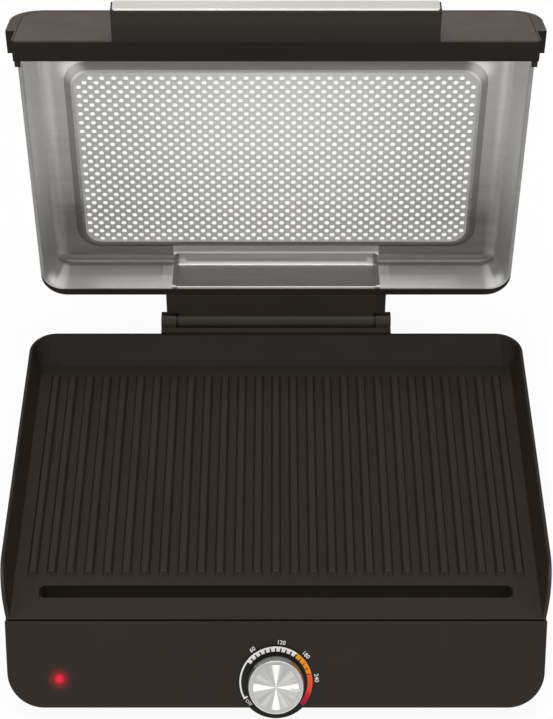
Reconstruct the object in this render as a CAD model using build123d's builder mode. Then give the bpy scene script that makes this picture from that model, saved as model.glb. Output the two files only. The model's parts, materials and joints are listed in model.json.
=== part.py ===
"""Electric countertop grill with a hinged, vented lid, standing with the lid open.

Millimetres. +Z is up, -Y is the front, X runs along the width. The origin is on the table,
under the middle of the open grill. Every piece is one named solid, or a group of alike solids.
"""
import os
from math import acos, atan, cos, degrees, radians, sin, tan

from build123d import *

os.makedirs("parts", exist_ok=True)

# ---------------------------------------------------------------- driving dimensions
# grill plate: a drafted tray, open at the front, where its side walls roll down to the floor
plate_width = 459.0
plate_depth = 316.8
rim_height = 100.0
plate_fall = 25.0
plate_floor = 3.0
plate_wall = 2.6
plate_draft = 13.0
plate_inner_draft = 14.6
plate_rear_run = 16.0
plate_corner = 24.0
plate_front_corner = 9.0
plate_inner_corner = 12.0
roll_radius = 55.0
rib_count = 27
rib_pitch = 15.8
rib_width = 9.6
rib_height = 4.5
rib_draft = 24.0
rib_rear_inset = 33.0
rib_front_inset = 45.5
drain_width = 13.0
drain_length = 397.0
drain_inset = 22.4
plate_seat_gap = 0.3

# base housing and its leaning front
housing_half_foot = 222.6
housing_side_slope = 0.04
housing_wall = 2.6
housing_bottom = 16.0
housing_rear_overhang = 27.0
fascia_lean = 37.3
fascia_length = 72.2
fascia_corner = 30.5
seam_gap = 1.2
seam_lip = 1.0
deck_opening_half = 200.0
deck_opening_rear_inset = 20.0
deck_opening_front_inset = 55.0

# underside
cover_thickness = 2.6
cover_flange = 10.0
cover_overlap = 6.0
foot_radius = 13.0
foot_offset_x = 160.0
foot_inset_front = 40.0
foot_inset_rear = 30.0
screw_radius = 1.6
screw_head_radius = 3.2
screw_head_height = 2.0

# heating
element_radius = 3.5
element_half_width = 168.0
element_pitch = 54.0
element_bend = 20.0
element_gap = 0.3
reflector_sheet = 0.8
reflector_depth = 22.0
reflector_flange = 8.0
reflector_draft = 4.0
support_offset = 110.0
support_sheet = 1.5
probe_radius = 6.0
probe_stem_radius = 2.6
probe_stroke = 17.0

# grease tray
tray_length = 404.0
tray_width = 23.0
tray_depth = 20.0
tray_wall = 1.2
tray_rim = 2.4
tray_clearance = 0.4

# controls
dial_drop = 50.6
dial_radius = 31.0
dial_thickness = 1.6
dial_rotary_radius = 8.0
dial_rotary_depth = 8.0
knob_radius = 23.8
knob_top_radius = 22.6
knob_height = 14.6
knob_gap = 0.6
knob_cap_depth = 10.0
knob_cap_wall = 0.6
shaft_radius = 3.0
shaft_clearance = 0.05
pointer_angle = 97.0
lamp_drop = 48.3
lamp_offset = 179.4
lamp_radius = 4.2

# electrics
board_size = (110.0, 60.0, 1.6)
board_centre_x = 95.0
board_rear_inset = 70.0
standoff_height = 8.0
gland_offset = 150.0
gland_height = 30.0
gland_radius = 6.0
gland_bore = 3.6
wire_radius = 1.2

# hinge
hinge_setback = 15.0
hinge_rise = 3.0
pin_radius = 3.0
pin_flat = 2.2
pin_clearance = 0.05
bush_wall = 1.6
bush_length = 18.0
ear_inner = 94.0
ear_width = 14.0
ear_radius = 8.0
barrel_radius = 7.0
barrel_gap = 0.4
tower_front_gap = 1.0
arm_half_width = 102.5
arm_neck_half = 91.5
arm_depth = 27.0
arm_heel = 11.0
arm_flange_half = 131.0
arm_flange = 3.0
stop_gap = 0.3

# lid, measured in its own rim plane: d runs from the rear edge to the front, h away from the rim
open_angle = 92.0
lid_rear_inset = 17.5
lid_rim_gap = 2.0
lid_half_width = 217.0
lid_length = 291.6
dome_height = 52.0
dome_sheet = 2.0
dome_edge = 16.0
dome_corner = 23.0
rear_lip = 7.9
liner_sheet = 1.0
liner_half_width = 214.0
liner_length = 268.0
liner_depth = 39.0
liner_side_run = 9.0
liner_rear_run = 2.4
liner_front_run = 6.0
liner_corner = 19.0
liner_edge = 7.5
plateau_rise = 4.0
plateau_slope = 6.0
panel_half_width = 179.0
panel_start = 32.5
panel_end = 224.5
panel_corner = 17.0
panel_border = 2.6
hole_pitch = 10.43
row_pitch = 4.66
hole_radius = 2.2
hole_rows = 39
hole_columns = 34
hole_row_start = 38.6
boss_half_width = 96.0
boss_start = 3.4
boss_end = 18.0
boss_near = 3.5
boss_corner = 5.0
boss_floor_edge = 2.4
boss_mouth_edge = 1.2
window_half_width = 186.0
window_start = 19.0
window_end = 232.0
window_corner = 19.0
window_skirt = 1.4
boss_reach = 40.6

# front cap, its panel and the handle
cap_half_width = 224.3
cap_height = 54.7
cap_draft = 14.0
cap_corner = 26.0
cap_wall = 2.4
cap_start = 264.0
lip_drop = 24.0
lip_half_width = 216.5
lip_thickness = 20.1
front_panel_half = 214.6
front_panel_inset = 4.8
front_panel_thickness = 1.6
front_panel_corner = 17.0
front_panel_gap = 0.4
handle_half_width = 134.0
handle_reach = 29.1
handle_thickness = 15.0
handle_wall = 2.0
strip_thickness = 1.4
strip_inset = 1.5
cap_screw_radius = 1.1
cap_screw_head = 2.2
cap_screw_inset = 2.6

# ---------------------------------------------------------------- places worked out from them
lean = open_angle - 90.0
fascia_sin = sin(radians(fascia_lean))
fascia_cos = cos(radians(fascia_lean))
floor_z = rim_height - plate_fall
underside_z = floor_z - plate_floor
deck_z = underside_z - plate_seat_gap
seam_z = floor_z - 1.0


def turned(y, z, angle):
    """A point of the Y-Z plane turned about the X axis by an angle in degrees."""
    turn = radians(angle)
    return y * cos(turn) - z * sin(turn), y * sin(turn) + z * cos(turn)


# the lid's rear rim edge, from the hinge axis, with the lid shut and then open
shut_y = -(lid_rear_inset + hinge_setback)
shut_z = lid_rim_gap - hinge_rise
foot_dy, foot_dz = turned(shut_y, shut_z, -open_angle)

# the part's reach to the front (knob) and to the back (open lid), both from the plate's back edge
front_reach = (
    plate_depth
    + seam_gap
    + seam_lip
    + dial_drop * fascia_sin
    + (dial_thickness + knob_gap + knob_height) * fascia_cos
    + knob_top_radius * fascia_sin
)
cap_lean_run = (lip_drop + cap_height) * tan(radians(cap_draft))
rear_reach = (
    hinge_setback
    + foot_dy
    + (lid_length - cap_lean_run) * sin(radians(lean))
    + cap_height * cos(radians(lean))
)
back_y = (front_reach - rear_reach) / 2.0
seam_y = back_y - plate_depth
axis_y = back_y + hinge_setback
axis_z = rim_height + hinge_rise
foot_y = axis_y + foot_dy
foot_z = axis_z + foot_dz
housing_back_y = back_y + housing_rear_overhang
axis_d = -(lid_rear_inset + hinge_setback)
axis_h = hinge_rise - lid_rim_gap

# planes: the leaning front, the dial on it, the open lid's rim plane, its side view and front wall
fascia_origin = (0, seam_y - seam_gap - seam_lip, seam_z)
fascia_normal = (0, -fascia_cos, fascia_sin)
fascia_plane = Plane(origin=fascia_origin, x_dir=(1, 0, 0), z_dir=fascia_normal)
dial_centre = (
    0,
    fascia_origin[1] - dial_drop * fascia_sin,
    fascia_origin[2] - dial_drop * fascia_cos,
)
dial_plane = Plane(origin=dial_centre, x_dir=(1, 0, 0), z_dir=fascia_normal)
lean_sin = sin(radians(lean))
lean_cos = cos(radians(lean))
lid_plane = Plane(origin=(0, foot_y, foot_z), x_dir=(-1, 0, 0), z_dir=(0, lean_cos, -lean_sin))
lid_side = Plane(origin=(0, foot_y, foot_z), x_dir=(0, lean_sin, lean_cos), z_dir=(-1, 0, 0))
side_plane = Plane(origin=(0, 0, 0), x_dir=(0, 1, 0), z_dir=(1, 0, 0))
lid_axis = Axis((0, foot_y, foot_z), (0, lean_cos, -lean_sin))
lid_up_axis = Axis((0, foot_y, foot_z), (0, lean_sin, lean_cos))
gland_plane = Plane(
    origin=(-gland_offset, housing_back_y, gland_height), x_dir=(-1, 0, 0), z_dir=(0, 1, 0)
)


def lid_point(x, d, h):
    """A point of the open lid, from its own places x, d and h."""
    y = foot_y + d * lean_sin + h * lean_cos
    z = foot_z + d * lean_cos - h * lean_sin
    return x, y, z


def lid_outline(half_width, start, end, corner, h):
    """A rounded rectangle in the lid's plan at height h, running from d = start to d = end."""
    with BuildSketch(lid_plane.offset(h)) as outline:
        with Locations((0, (start + end) / 2.0)):
            RectangleRounded(2.0 * half_width, end - start, corner)
    return outline.sketch


def lid_slab(half_width, start, end, corner, h, thickness, edge=0.0):
    """A flat rounded slab in the lid from height h, its far rim rounded by an edge radius."""
    with BuildPart() as slab:
        with BuildSketch(lid_plane.offset(h)):
            with Locations((0, (start + end) / 2.0)):
                RectangleRounded(2.0 * half_width, end - start, corner)
        extrude(amount=thickness)
        if edge > 0.0:
            fillet(slab.faces().sort_by(lid_axis)[-1].edges(), edge)
    return slab.part


def side_bar(points, half_width):
    """A bar across the width whose side view is a polygon in the lid's d and h."""
    with BuildPart() as bar:
        with BuildSketch(lid_side):
            with BuildLine():
                Polyline(*points, close=True)
            make_face()
        extrude(amount=half_width, both=True)
    return bar.part


# ================================================================ grill plate
plate_half = plate_width / 2.0
plate_front_run = plate_fall * tan(radians(plate_draft))
plate_bottom_run = (plate_fall + plate_floor) * tan(radians(plate_draft))
cavity_half_top = plate_half - plate_wall
cavity_half_floor = cavity_half_top - plate_fall * tan(radians(plate_inner_draft))
roll_run = roll_radius * sin(acos((roll_radius - plate_fall) / roll_radius))
roll_end_y = seam_y + plate_wall
roll_start_y = roll_end_y + roll_run
past_y = seam_y - 60.0
rib_start_y = back_y - rib_rear_inset
rib_end_y = seam_y + rib_front_inset
drain_y = seam_y + drain_inset + drain_width / 2.0
rib_offsets = [(i - (rib_count - 1) / 2.0) * rib_pitch for i in range(rib_count)]

with BuildPart() as plate_rib:
    with BuildSketch(Plane.XY.offset(floor_z - 0.5)):
        with Locations((0, (rib_start_y + rib_end_y) / 2.0)):
            Rectangle(rib_width, rib_start_y - rib_end_y)
    extrude(amount=rib_height + 0.5, taper=rib_draft)
    fillet(plate_rib.faces().sort_by(Axis.Z)[-1].edges(), 0.9)

with BuildPart() as grill_plate:
    with BuildSketch(Plane.XY.offset(rim_height)):
        with Locations((0, (back_y + seam_y - plate_front_run) / 2.0)):
            RectangleRounded(plate_width, plate_depth + plate_front_run, plate_corner)
        with Locations((0, (back_y + seam_y - plate_front_run) / 2.0 - 40.0)):
            RectangleRounded(plate_width, plate_depth + plate_front_run - 80.0, plate_front_corner)
    extrude(amount=-(plate_fall + plate_floor), taper=plate_draft)
    # tray cavity, its rear wall sloped more than its sides, open at the front
    with BuildSketch(Plane.XY.offset(rim_height + 0.01)):
        with Locations((0, back_y - plate_wall - 250.0)):
            RectangleRounded(2.0 * cavity_half_top, 500.0, plate_corner - plate_wall)
    with BuildSketch(Plane.XY.offset(floor_z)):
        with Locations((0, back_y - plate_wall - plate_rear_run - 250.0)):
            RectangleRounded(2.0 * cavity_half_floor, 500.0, plate_inner_corner)
    loft(ruled=True, mode=Mode.SUBTRACT)
    # the side walls' top edge rolls down to the floor's level at the front
    with BuildSketch(side_plane):
        with BuildLine():
            TangentArc((roll_start_y, rim_height), (roll_end_y, floor_z), tangent=(-1, 0))
            Polyline(
                (roll_end_y, floor_z),
                (past_y, floor_z),
                (past_y, rim_height + 1.0),
                (roll_start_y, rim_height + 1.0),
                (roll_start_y, rim_height),
            )
        make_face()
    extrude(amount=plate_width, both=True, mode=Mode.SUBTRACT)
    # ribs and the drain slot
    with Locations(*[(x, 0, 0) for x in rib_offsets]):
        add(plate_rib.part)
    with BuildSketch(Plane.XY.offset(underside_z - 1.0)):
        with Locations((0, drain_y)):
            RectangleRounded(drain_length, drain_width, 5.0)
    extrude(amount=plate_floor + rib_height, mode=Mode.SUBTRACT)
grill_plate.part.label = "grill_plate"
export_step(grill_plate.part, "parts/grill_plate.step")

# ================================================================ base housing
profile_corner_z = fascia_corner * fascia_cos
deck_under_z = deck_z - housing_wall
tray_half = tray_length / 2.0
opening_rear_y = back_y - deck_opening_rear_inset
opening_front_y = seam_y + deck_opening_front_inset
opening_middle_y = (opening_rear_y + opening_front_y) / 2.0
tower_front_y = back_y + tower_front_gap
tower_back_y = housing_back_y - 0.5
tower_screw_places = [(side * x, tower_back_y - 8.0) for x in (30.0, 75.0) for side in (-1, 1)]
flange_screw_places = [
    (side * (deck_opening_half + 5.0), opening_middle_y + row * 95.0) for row in (-1, 0, 1) for side in (-1, 1)
]


def housing_form(inset, top_z):
    """The housing's outer form, drawn in on every side by an inset."""
    corner_x = fascia_corner - inset
    corner_z = profile_corner_z - inset
    side_x = housing_half_foot - inset
    low_z = housing_bottom + inset
    # the arc stops short of upright, where it runs on into the slightly flared side
    short = atan(housing_side_slope * corner_z / corner_x)
    arc_x = side_x - corner_x + corner_x * cos(short)
    arc_z = low_z + corner_z - corner_z * sin(short)
    top_x = arc_x + housing_side_slope * (top_z - arc_z)
    with BuildPart() as form:
        with BuildSketch(Plane.XZ):
            with BuildLine():
                Polyline((0, low_z), (0, top_z), (top_x, top_z), (arc_x, arc_z))
                EllipticalCenterArc(
                    (side_x - corner_x, low_z + corner_z),
                    corner_x,
                    corner_z,
                    start_angle=270,
                    arc_size=90.0 - degrees(short),
                )
                Line((side_x - corner_x, low_z), (0, low_z))
            make_face()
            mirror(about=Plane.YZ)
        extrude(amount=500.0, both=True)
        with BuildSketch(Plane.XY):
            with Locations((0, housing_back_y - inset - 300.0)):
                RectangleRounded(2.0 * top_x, 600.0, plate_corner - inset)
        extrude(amount=300.0, mode=Mode.INTERSECT)
        with BuildSketch(fascia_plane.offset(-inset)):
            Rectangle(900.0, 900.0)
        extrude(amount=300.0, mode=Mode.SUBTRACT)
    return form.part


housing_outer = housing_form(0.0, seam_z)
housing_inner = housing_form(housing_wall, deck_under_z)
foot_front_y = fascia_plane.from_local_coords((0, -fascia_length, 0)).Y
under_front_y = foot_front_y + cover_flange + housing_wall
under_rear_y = housing_back_y - cover_flange - housing_wall
under_half = housing_half_foot - fascia_corner - cover_flange
cover_half = under_half + cover_overlap
cover_front_y = under_front_y - cover_overlap
cover_rear_y = under_rear_y + cover_overlap
cover_middle_y = (cover_front_y + cover_rear_y) / 2.0
screw_x = under_half + cover_overlap / 2.0
screw_rows = [cover_front_y + 30.0, cover_middle_y, cover_rear_y - 30.0]
cover_screw_places = [(side * screw_x, y) for y in screw_rows for side in (-1, 1)]

with BuildPart() as base_housing:
    add(housing_outer)
    add(housing_inner, mode=Mode.SUBTRACT)
    # the deck under the plate lies lower than the lip along the front seam
    with BuildSketch(Plane.XY.offset(deck_z)):
        with Locations((0, seam_y - seam_gap + 300.0)):
            Rectangle(900.0, 600.0)
    extrude(amount=20.0, mode=Mode.SUBTRACT)
    # opening over the heating element
    with BuildSketch(Plane.XY.offset(deck_z + 1.0)):
        with Locations((0, opening_middle_y)):
            RectangleRounded(2.0 * deck_opening_half, opening_rear_y - opening_front_y, 12.0)
    extrude(amount=-10.0, mode=Mode.SUBTRACT)
    # opening for the grease tray, with a rebate for its rim
    with BuildSketch(Plane.XY.offset(deck_z + 1.0)):
        with Locations((0, drain_y)):
            RectangleRounded(tray_length + 2.0 * tray_clearance, tray_width + 2.0 * tray_clearance, 5.0)
    extrude(amount=-10.0, mode=Mode.SUBTRACT)
    with BuildSketch(Plane.XY.offset(deck_z + 1.0)):
        with Locations((0, drain_y)):
            rebate_side = 2.0 * (tray_rim + tray_clearance)
            RectangleRounded(tray_length + rebate_side, tray_width + rebate_side, 7.0)
    extrude(amount=-(1.0 + tray_wall), mode=Mode.SUBTRACT)
    # underside opening, leaving a flange for the bottom cover
    with BuildSketch(Plane.XY.offset(housing_bottom - 1.0)):
        with Locations((0, (under_front_y + under_rear_y) / 2.0)):
            RectangleRounded(2.0 * under_half, under_rear_y - under_front_y, 12.0)
    extrude(amount=housing_wall + 4.0, mode=Mode.SUBTRACT)
    # screw holes: hinge tower and reflector in the deck, cover in the bottom flange
    with BuildSketch(Plane.XY.offset(deck_z + 1.0)):
        with Locations(*tower_screw_places):
            Circle(screw_radius + 0.3)
        with Locations(*flange_screw_places):
            Circle(screw_radius)
    extrude(amount=-(housing_wall + 2.0), mode=Mode.SUBTRACT)
    with BuildSketch(Plane.XY.offset(housing_bottom - 1.0)):
        with Locations(*cover_screw_places):
            Circle(screw_radius)
    extrude(amount=housing_wall + 3.0, mode=Mode.SUBTRACT)
    # rotary control and lamp bores in the leaning front, and the cord gland's bore at the back
    with BuildSketch(dial_plane.offset(1.0)):
        Circle(shaft_radius + 1.5 + shaft_clearance)
    extrude(amount=-(housing_wall + 3.0), mode=Mode.SUBTRACT)
    with BuildSketch(fascia_plane.offset(1.0)):
        with Locations((-lamp_offset, -lamp_drop)):
            Circle(lamp_radius + shaft_clearance)
    extrude(amount=-(housing_wall + 3.0), mode=Mode.SUBTRACT)
    with BuildSketch(gland_plane.offset(3.0)):
        Circle(gland_radius + shaft_clearance)
    extrude(amount=-(housing_wall + 6.0), mode=Mode.SUBTRACT)
base_housing.part.label = "base_housing"
export_step(base_housing.part, "parts/base_housing.step")

# ================================================================ underside
cover_top_z = housing_bottom
cover_z = cover_top_z - cover_thickness
foot_rows = [foot_front_y + foot_inset_front, housing_back_y - foot_inset_rear]
foot_places = [(side * foot_offset_x, y) for y in foot_rows for side in (-1, 1)]
vent_places = [(x, cover_middle_y + row * 60.0) for row in (-1, 1) for x in (-60.0, -40.0, -20.0, 0.0)]

with BuildPart() as bottom_cover:
    with BuildSketch(Plane.XY.offset(cover_z)):
        with Locations((0, cover_middle_y)):
            RectangleRounded(2.0 * cover_half, cover_rear_y - cover_front_y, 16.0)
        with Locations(*vent_places):
            SlotOverall(40.0, 5.0, rotation=90, mode=Mode.SUBTRACT)
    extrude(amount=cover_thickness)
    # bosses for the feet's screws, standing up inside
    with BuildSketch(Plane.XY.offset(cover_top_z)):
        with Locations(*foot_places):
            Circle(5.0)
    extrude(amount=8.0)
    with BuildSketch(Plane.XY.offset(cover_z - 1.0)):
        with Locations(*foot_places):
            Circle(screw_radius)
        with Locations(*cover_screw_places):
            Circle(screw_radius + 0.3)
    extrude(amount=cover_thickness + 8.0, mode=Mode.SUBTRACT)
bottom_cover.part.label = "bottom_cover"
export_step(bottom_cover.part, "parts/bottom_cover.step")

with BuildPart() as rubber_feet:
    for place in foot_places:
        with Locations((place[0], place[1], cover_z / 2.0)):
            Cone(foot_radius - 1.5, foot_radius, cover_z)
    with BuildSketch(Plane.XY.offset(-1.0)):
        with Locations(*foot_places):
            Circle(screw_head_radius + 1.0)
    extrude(amount=cover_z - 3.0, mode=Mode.SUBTRACT)
    with BuildSketch(Plane.XY.offset(-1.0)):
        with Locations(*foot_places):
            Circle(screw_radius + 0.3)
    extrude(amount=cover_z + 2.0, mode=Mode.SUBTRACT)
rubber_feet.part.label = "rubber_feet"
export_step(rubber_feet.part, "parts/rubber_feet.step")


def screw_group(plane, places, length, radius=screw_radius, head_radius=screw_head_radius):
    """Pan-head screws on a plane: heads above it, shanks running down behind it."""
    with BuildPart() as group:
        with BuildSketch(plane):
            with Locations(*places):
                Circle(head_radius)
        extrude(amount=screw_head_height)
        with BuildSketch(plane):
            with Locations(*places):
                Circle(radius)
        extrude(amount=-length)
        with BuildSketch(plane.offset(screw_head_height)):
            with Locations(*places):
                Rectangle(0.8, 1.2 * head_radius)
                Rectangle(1.2 * head_radius, 0.8)
        extrude(amount=-0.9, mode=Mode.SUBTRACT)
    return group.part


foot_screw_plane = Plane(origin=(0, 0, cover_z - 4.0), x_dir=(-1, 0, 0), z_dir=(0, 0, -1))
with BuildPart() as foot_screws:
    add(screw_group(foot_screw_plane, [(-x, y) for x, y in foot_places], 12.0))
foot_screws.part.label = "foot_screws"
export_step(foot_screws.part, "parts/foot_screws.step")

cover_screw_plane = Plane(origin=(0, 0, cover_z), x_dir=(-1, 0, 0), z_dir=(0, 0, -1))
with BuildPart() as cover_screws:
    add(screw_group(cover_screw_plane, [(-x, y) for x, y in cover_screw_places], 5.0))
cover_screws.part.label = "cover_screws"
export_step(cover_screws.part, "parts/cover_screws.step")

# ================================================================ heating
element_z = underside_z - element_gap - element_radius
reflector_top_z = deck_under_z
reflector_half = deck_opening_half - 2.0
reflector_floor_z = reflector_top_z - reflector_depth
reflector_rear_y = opening_rear_y - 2.0
reflector_front_y = opening_front_y + 2.0
reflector_middle_y = (reflector_rear_y + reflector_front_y) / 2.0
reflector_length = reflector_rear_y - reflector_front_y
run_rows = [opening_middle_y + (1.5 - i) * element_pitch for i in range(4)]
terminal_places = [(element_half_width, run_rows[0]), (element_half_width, run_rows[3])]

with BuildPart() as heat_reflector:
    # flange screwed under the deck
    with BuildSketch(Plane.XY.offset(reflector_top_z - reflector_sheet)):
        with Locations((0, reflector_middle_y)):
            flange_side = 2.0 * (reflector_flange + 2.0)
            RectangleRounded(2.0 * reflector_half + flange_side, reflector_length + 14.0, 10.0)
    extrude(amount=reflector_sheet)
    with BuildSketch(Plane.XY.offset(reflector_top_z)):
        with Locations((0, reflector_middle_y)):
            outer_side = 2.0 * reflector_sheet
            RectangleRounded(2.0 * reflector_half + outer_side, reflector_length + outer_side, 10.8)
    extrude(amount=-(reflector_depth + reflector_sheet), taper=reflector_draft)
    with BuildSketch(Plane.XY.offset(reflector_top_z)):
        with Locations((0, reflector_middle_y)):
            RectangleRounded(2.0 * reflector_half, reflector_length, 10.0)
    extrude(amount=-reflector_depth, taper=reflector_draft, mode=Mode.SUBTRACT)
    with BuildSketch(Plane.XY.offset(reflector_top_z + 1.0)):
        with Locations(*terminal_places):
            Circle(element_radius + 0.5)
        with Locations(*flange_screw_places):
            Circle(screw_radius + 0.3)
        with Locations((0, opening_middle_y)):
            Circle(probe_stem_radius + 0.4)
    extrude(amount=-(reflector_depth + 5.0), mode=Mode.SUBTRACT)
heat_reflector.part.label = "heat_reflector"
export_step(heat_reflector.part, "parts/heat_reflector.step")

flange_screw_plane = Plane(
    origin=(0, 0, reflector_top_z - reflector_sheet), x_dir=(-1, 0, 0), z_dir=(0, 0, -1)
)
with BuildPart() as reflector_screws:
    add(screw_group(flange_screw_plane, [(-x, y) for x, y in flange_screw_places], reflector_sheet + 2.2))
reflector_screws.part.label = "reflector_screws"
export_step(reflector_screws.part, "parts/reflector_screws.step")

with BuildPart() as heating_element:
    with BuildLine(Plane.XY.offset(element_z)) as element_path:
        FilletPolyline(
            (element_half_width, run_rows[0]),
            (-element_half_width, run_rows[0]),
            (-element_half_width, run_rows[1]),
            (element_half_width - 24.0, run_rows[1]),
            (element_half_width - 24.0, run_rows[2]),
            (-element_half_width, run_rows[2]),
            (-element_half_width, run_rows[3]),
            (element_half_width, run_rows[3]),
            radius=element_bend,
        )
    with BuildSketch(Plane(origin=element_path.line @ 0, z_dir=element_path.line % 0)):
        Circle(element_radius)
    sweep()
    # cold ends, turned down through the reflector
    for place in terminal_places:
        with Locations((place[0], place[1], element_z)):
            Sphere(element_radius)
        with BuildSketch(Plane.XY.offset(element_z)):
            with Locations(place):
                Circle(element_radius)
        extrude(amount=-(element_z - reflector_floor_z + 6.0))
heating_element.part.label = "heating_element"
export_step(heating_element.part, "parts/heating_element.step")

terminal_z = reflector_floor_z - 6.0
with BuildPart() as element_terminals:
    with BuildSketch(Plane.XY.offset(terminal_z)):
        with Locations(*terminal_places):
            Circle(2.4)
    extrude(amount=-2.0)
    with BuildSketch(Plane.XY.offset(terminal_z - 2.0)):
        with Locations(*terminal_places):
            Rectangle(0.8, 6.3)
    extrude(amount=-8.0)
element_terminals.part.label = "element_terminals"
export_step(element_terminals.part, "parts/element_terminals.step")

with BuildPart() as element_supports:
    comb_rear_y = run_rows[0] + 10.0
    comb_front_y = run_rows[3] - 10.0
    with BuildSketch(Plane.XY.offset(reflector_floor_z)):
        with Locations((-support_offset, opening_middle_y), (support_offset, opening_middle_y)):
            Rectangle(support_sheet, comb_rear_y - comb_front_y)
    extrude(amount=element_z - reflector_floor_z)
    with BuildSketch(Plane.YZ):
        for row in run_rows:
            with Locations((row, element_z)):
                Circle(element_radius + shaft_clearance)
        for row in run_rows[:3]:
            with Locations((row - element_pitch / 2.0, element_z)):
                RectangleRounded(element_pitch - 16.0, 14.0, 4.0)
    extrude(amount=400.0, both=True, mode=Mode.SUBTRACT)
    # feet spot-welded to the reflector's floor
    with BuildSketch(Plane.XY.offset(reflector_floor_z)):
        foot_spots = [(side * (support_offset + 4.0), row - 14.0) for side in (-1, 1) for row in run_rows]
        with Locations(*foot_spots):
            Rectangle(8.0, 10.0)
    extrude(amount=1.0)
element_supports.part.label = "element_supports"
export_step(element_supports.part, "parts/element_supports.step")

# sprung temperature probe under the plate's middle
probe_top_z = underside_z - plate_seat_gap
probe_head_z = probe_top_z - 3.0
guide_floor_z = reflector_floor_z + 1.0
with BuildPart() as sensor_probe:
    with BuildSketch(Plane.XY.offset(probe_top_z)):
        with Locations((0, opening_middle_y)):
            Circle(probe_radius)
    extrude(amount=-3.0)
    with BuildSketch(Plane.XY.offset(probe_head_z)):
        with Locations((0, opening_middle_y)):
            Circle(probe_stem_radius)
    extrude(amount=-(probe_head_z - reflector_floor_z + 8.0))
sensor_probe.part.label = "sensor_probe"
export_step(sensor_probe.part, "parts/sensor_probe.step")

with BuildPart() as probe_guide:
    with BuildSketch(Plane.XY.offset(reflector_floor_z)):
        with Locations((0, opening_middle_y)):
            RectangleRounded(26.0, 22.0, 4.0)
    extrude(amount=1.0)
    with BuildSketch(Plane.XY.offset(reflector_floor_z)):
        with Locations((0, opening_middle_y)):
            Circle(probe_radius + 2.2)
    extrude(amount=probe_stroke)
    with BuildSketch(Plane.XY.offset(guide_floor_z)):
        with Locations((0, opening_middle_y)):
            Circle(probe_radius + 1.0)
    extrude(amount=probe_stroke, mode=Mode.SUBTRACT)
    with BuildSketch(Plane.XY.offset(reflector_floor_z - 1.0)):
        with Locations((0, opening_middle_y)):
            Circle(probe_stem_radius + 0.1)
    extrude(amount=4.0, mode=Mode.SUBTRACT)
probe_guide.part.label = "probe_guide"
export_step(probe_guide.part, "parts/probe_guide.step")

with BuildPart() as probe_spring:
    spring_low_z = guide_floor_z + 0.6
    spring_high_z = probe_head_z - 0.6
    with BuildLine():
        coil = Helix((spring_high_z - spring_low_z) / 6.0, spring_high_z - spring_low_z, 4.6)
    with BuildSketch(Plane(origin=coil @ 0, z_dir=coil % 0)):
        Circle(0.5)
    sweep(is_frenet=True)
probe_spring.part = probe_spring.part.moved(Location((0, opening_middle_y, spring_low_z)))
probe_spring.part.label = "probe_spring"
export_step(probe_spring.part, "parts/probe_spring.step")

# ================================================================ grease tray
with BuildPart() as grease_tray:
    with BuildSketch(Plane.XY.offset(deck_z - tray_wall)):
        with Locations((0, drain_y)):
            RectangleRounded(tray_length + 2.0 * tray_rim, tray_width + 2.0 * tray_rim, 6.6)
    extrude(amount=tray_wall)
    with BuildSketch(Plane.XY.offset(deck_z)):
        with Locations((0, drain_y)):
            RectangleRounded(tray_length, tray_width, 4.6)
    extrude(amount=-tray_depth, taper=2.0)
    with BuildSketch(Plane.XY.offset(deck_z)):
        with Locations((0, drain_y)):
            RectangleRounded(tray_length - 2.0 * tray_wall, tray_width - 2.0 * tray_wall, 3.4)
    extrude(amount=-(tray_depth - tray_wall), taper=2.0, mode=Mode.SUBTRACT)
grease_tray.part.label = "grease_tray"
export_step(grease_tray.part, "parts/grease_tray.step")

# ================================================================ electrics in the base
board_x, board_y, board_thickness = board_size
board_middle_y = back_y - board_rear_inset
board_z = cover_top_z + standoff_height
board_top_z = board_z + board_thickness
standoff_places = [
    (board_centre_x + sx * (board_x / 2.0 - 5.0), board_middle_y + sy * (board_y / 2.0 - 5.0))
    for sx in (-1, 1)
    for sy in (-1, 1)
]

with BuildPart() as board_standoffs:
    with BuildSketch(Plane.XY.offset(cover_top_z)):
        with Locations(*standoff_places):
            Circle(3.2)
    extrude(amount=standoff_height)
    with BuildSketch(Plane.XY.offset(board_z)):
        with Locations(*standoff_places):
            Circle(1.5)
    extrude(amount=board_thickness + 1.0)
board_standoffs.part.label = "board_standoffs"
export_step(board_standoffs.part, "parts/board_standoffs.step")

with BuildPart() as control_board:
    with BuildSketch(Plane.XY.offset(board_z)):
        with Locations((board_centre_x, board_middle_y)):
            RectangleRounded(board_x, board_y, 2.0)
        with Locations(*standoff_places):
            Circle(1.5 + shaft_clearance, mode=Mode.SUBTRACT)
    extrude(amount=board_thickness)
control_board.part.label = "control_board"
export_step(control_board.part, "parts/control_board.step")

with BuildPart() as board_relay:
    with BuildSketch(Plane.XY.offset(board_top_z)):
        with Locations((board_centre_x + 20.0, board_middle_y + 8.0)):
            RectangleRounded(29.0, 13.0, 1.0)
    extrude(amount=15.0)
board_relay.part.label = "board_relay"
export_step(board_relay.part, "parts/board_relay.step")

terminal_x = board_centre_x - board_x / 2.0 + 16.0
with BuildPart() as terminal_block:
    with BuildSketch(Plane.XY.offset(board_top_z)):
        with Locations((terminal_x, board_middle_y + 18.0)):
            Rectangle(14.0, 12.0)
    extrude(amount=10.0)
    with BuildSketch(Plane.XZ.offset(-(board_middle_y + 25.0))):
        with Locations((terminal_x - 3.5, gland_height), (terminal_x + 3.5, gland_height)):
            Circle(wire_radius + 0.4)
    extrude(amount=6.0, mode=Mode.SUBTRACT)
terminal_block.part.label = "terminal_block"
export_step(terminal_block.part, "parts/terminal_block.step")

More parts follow.
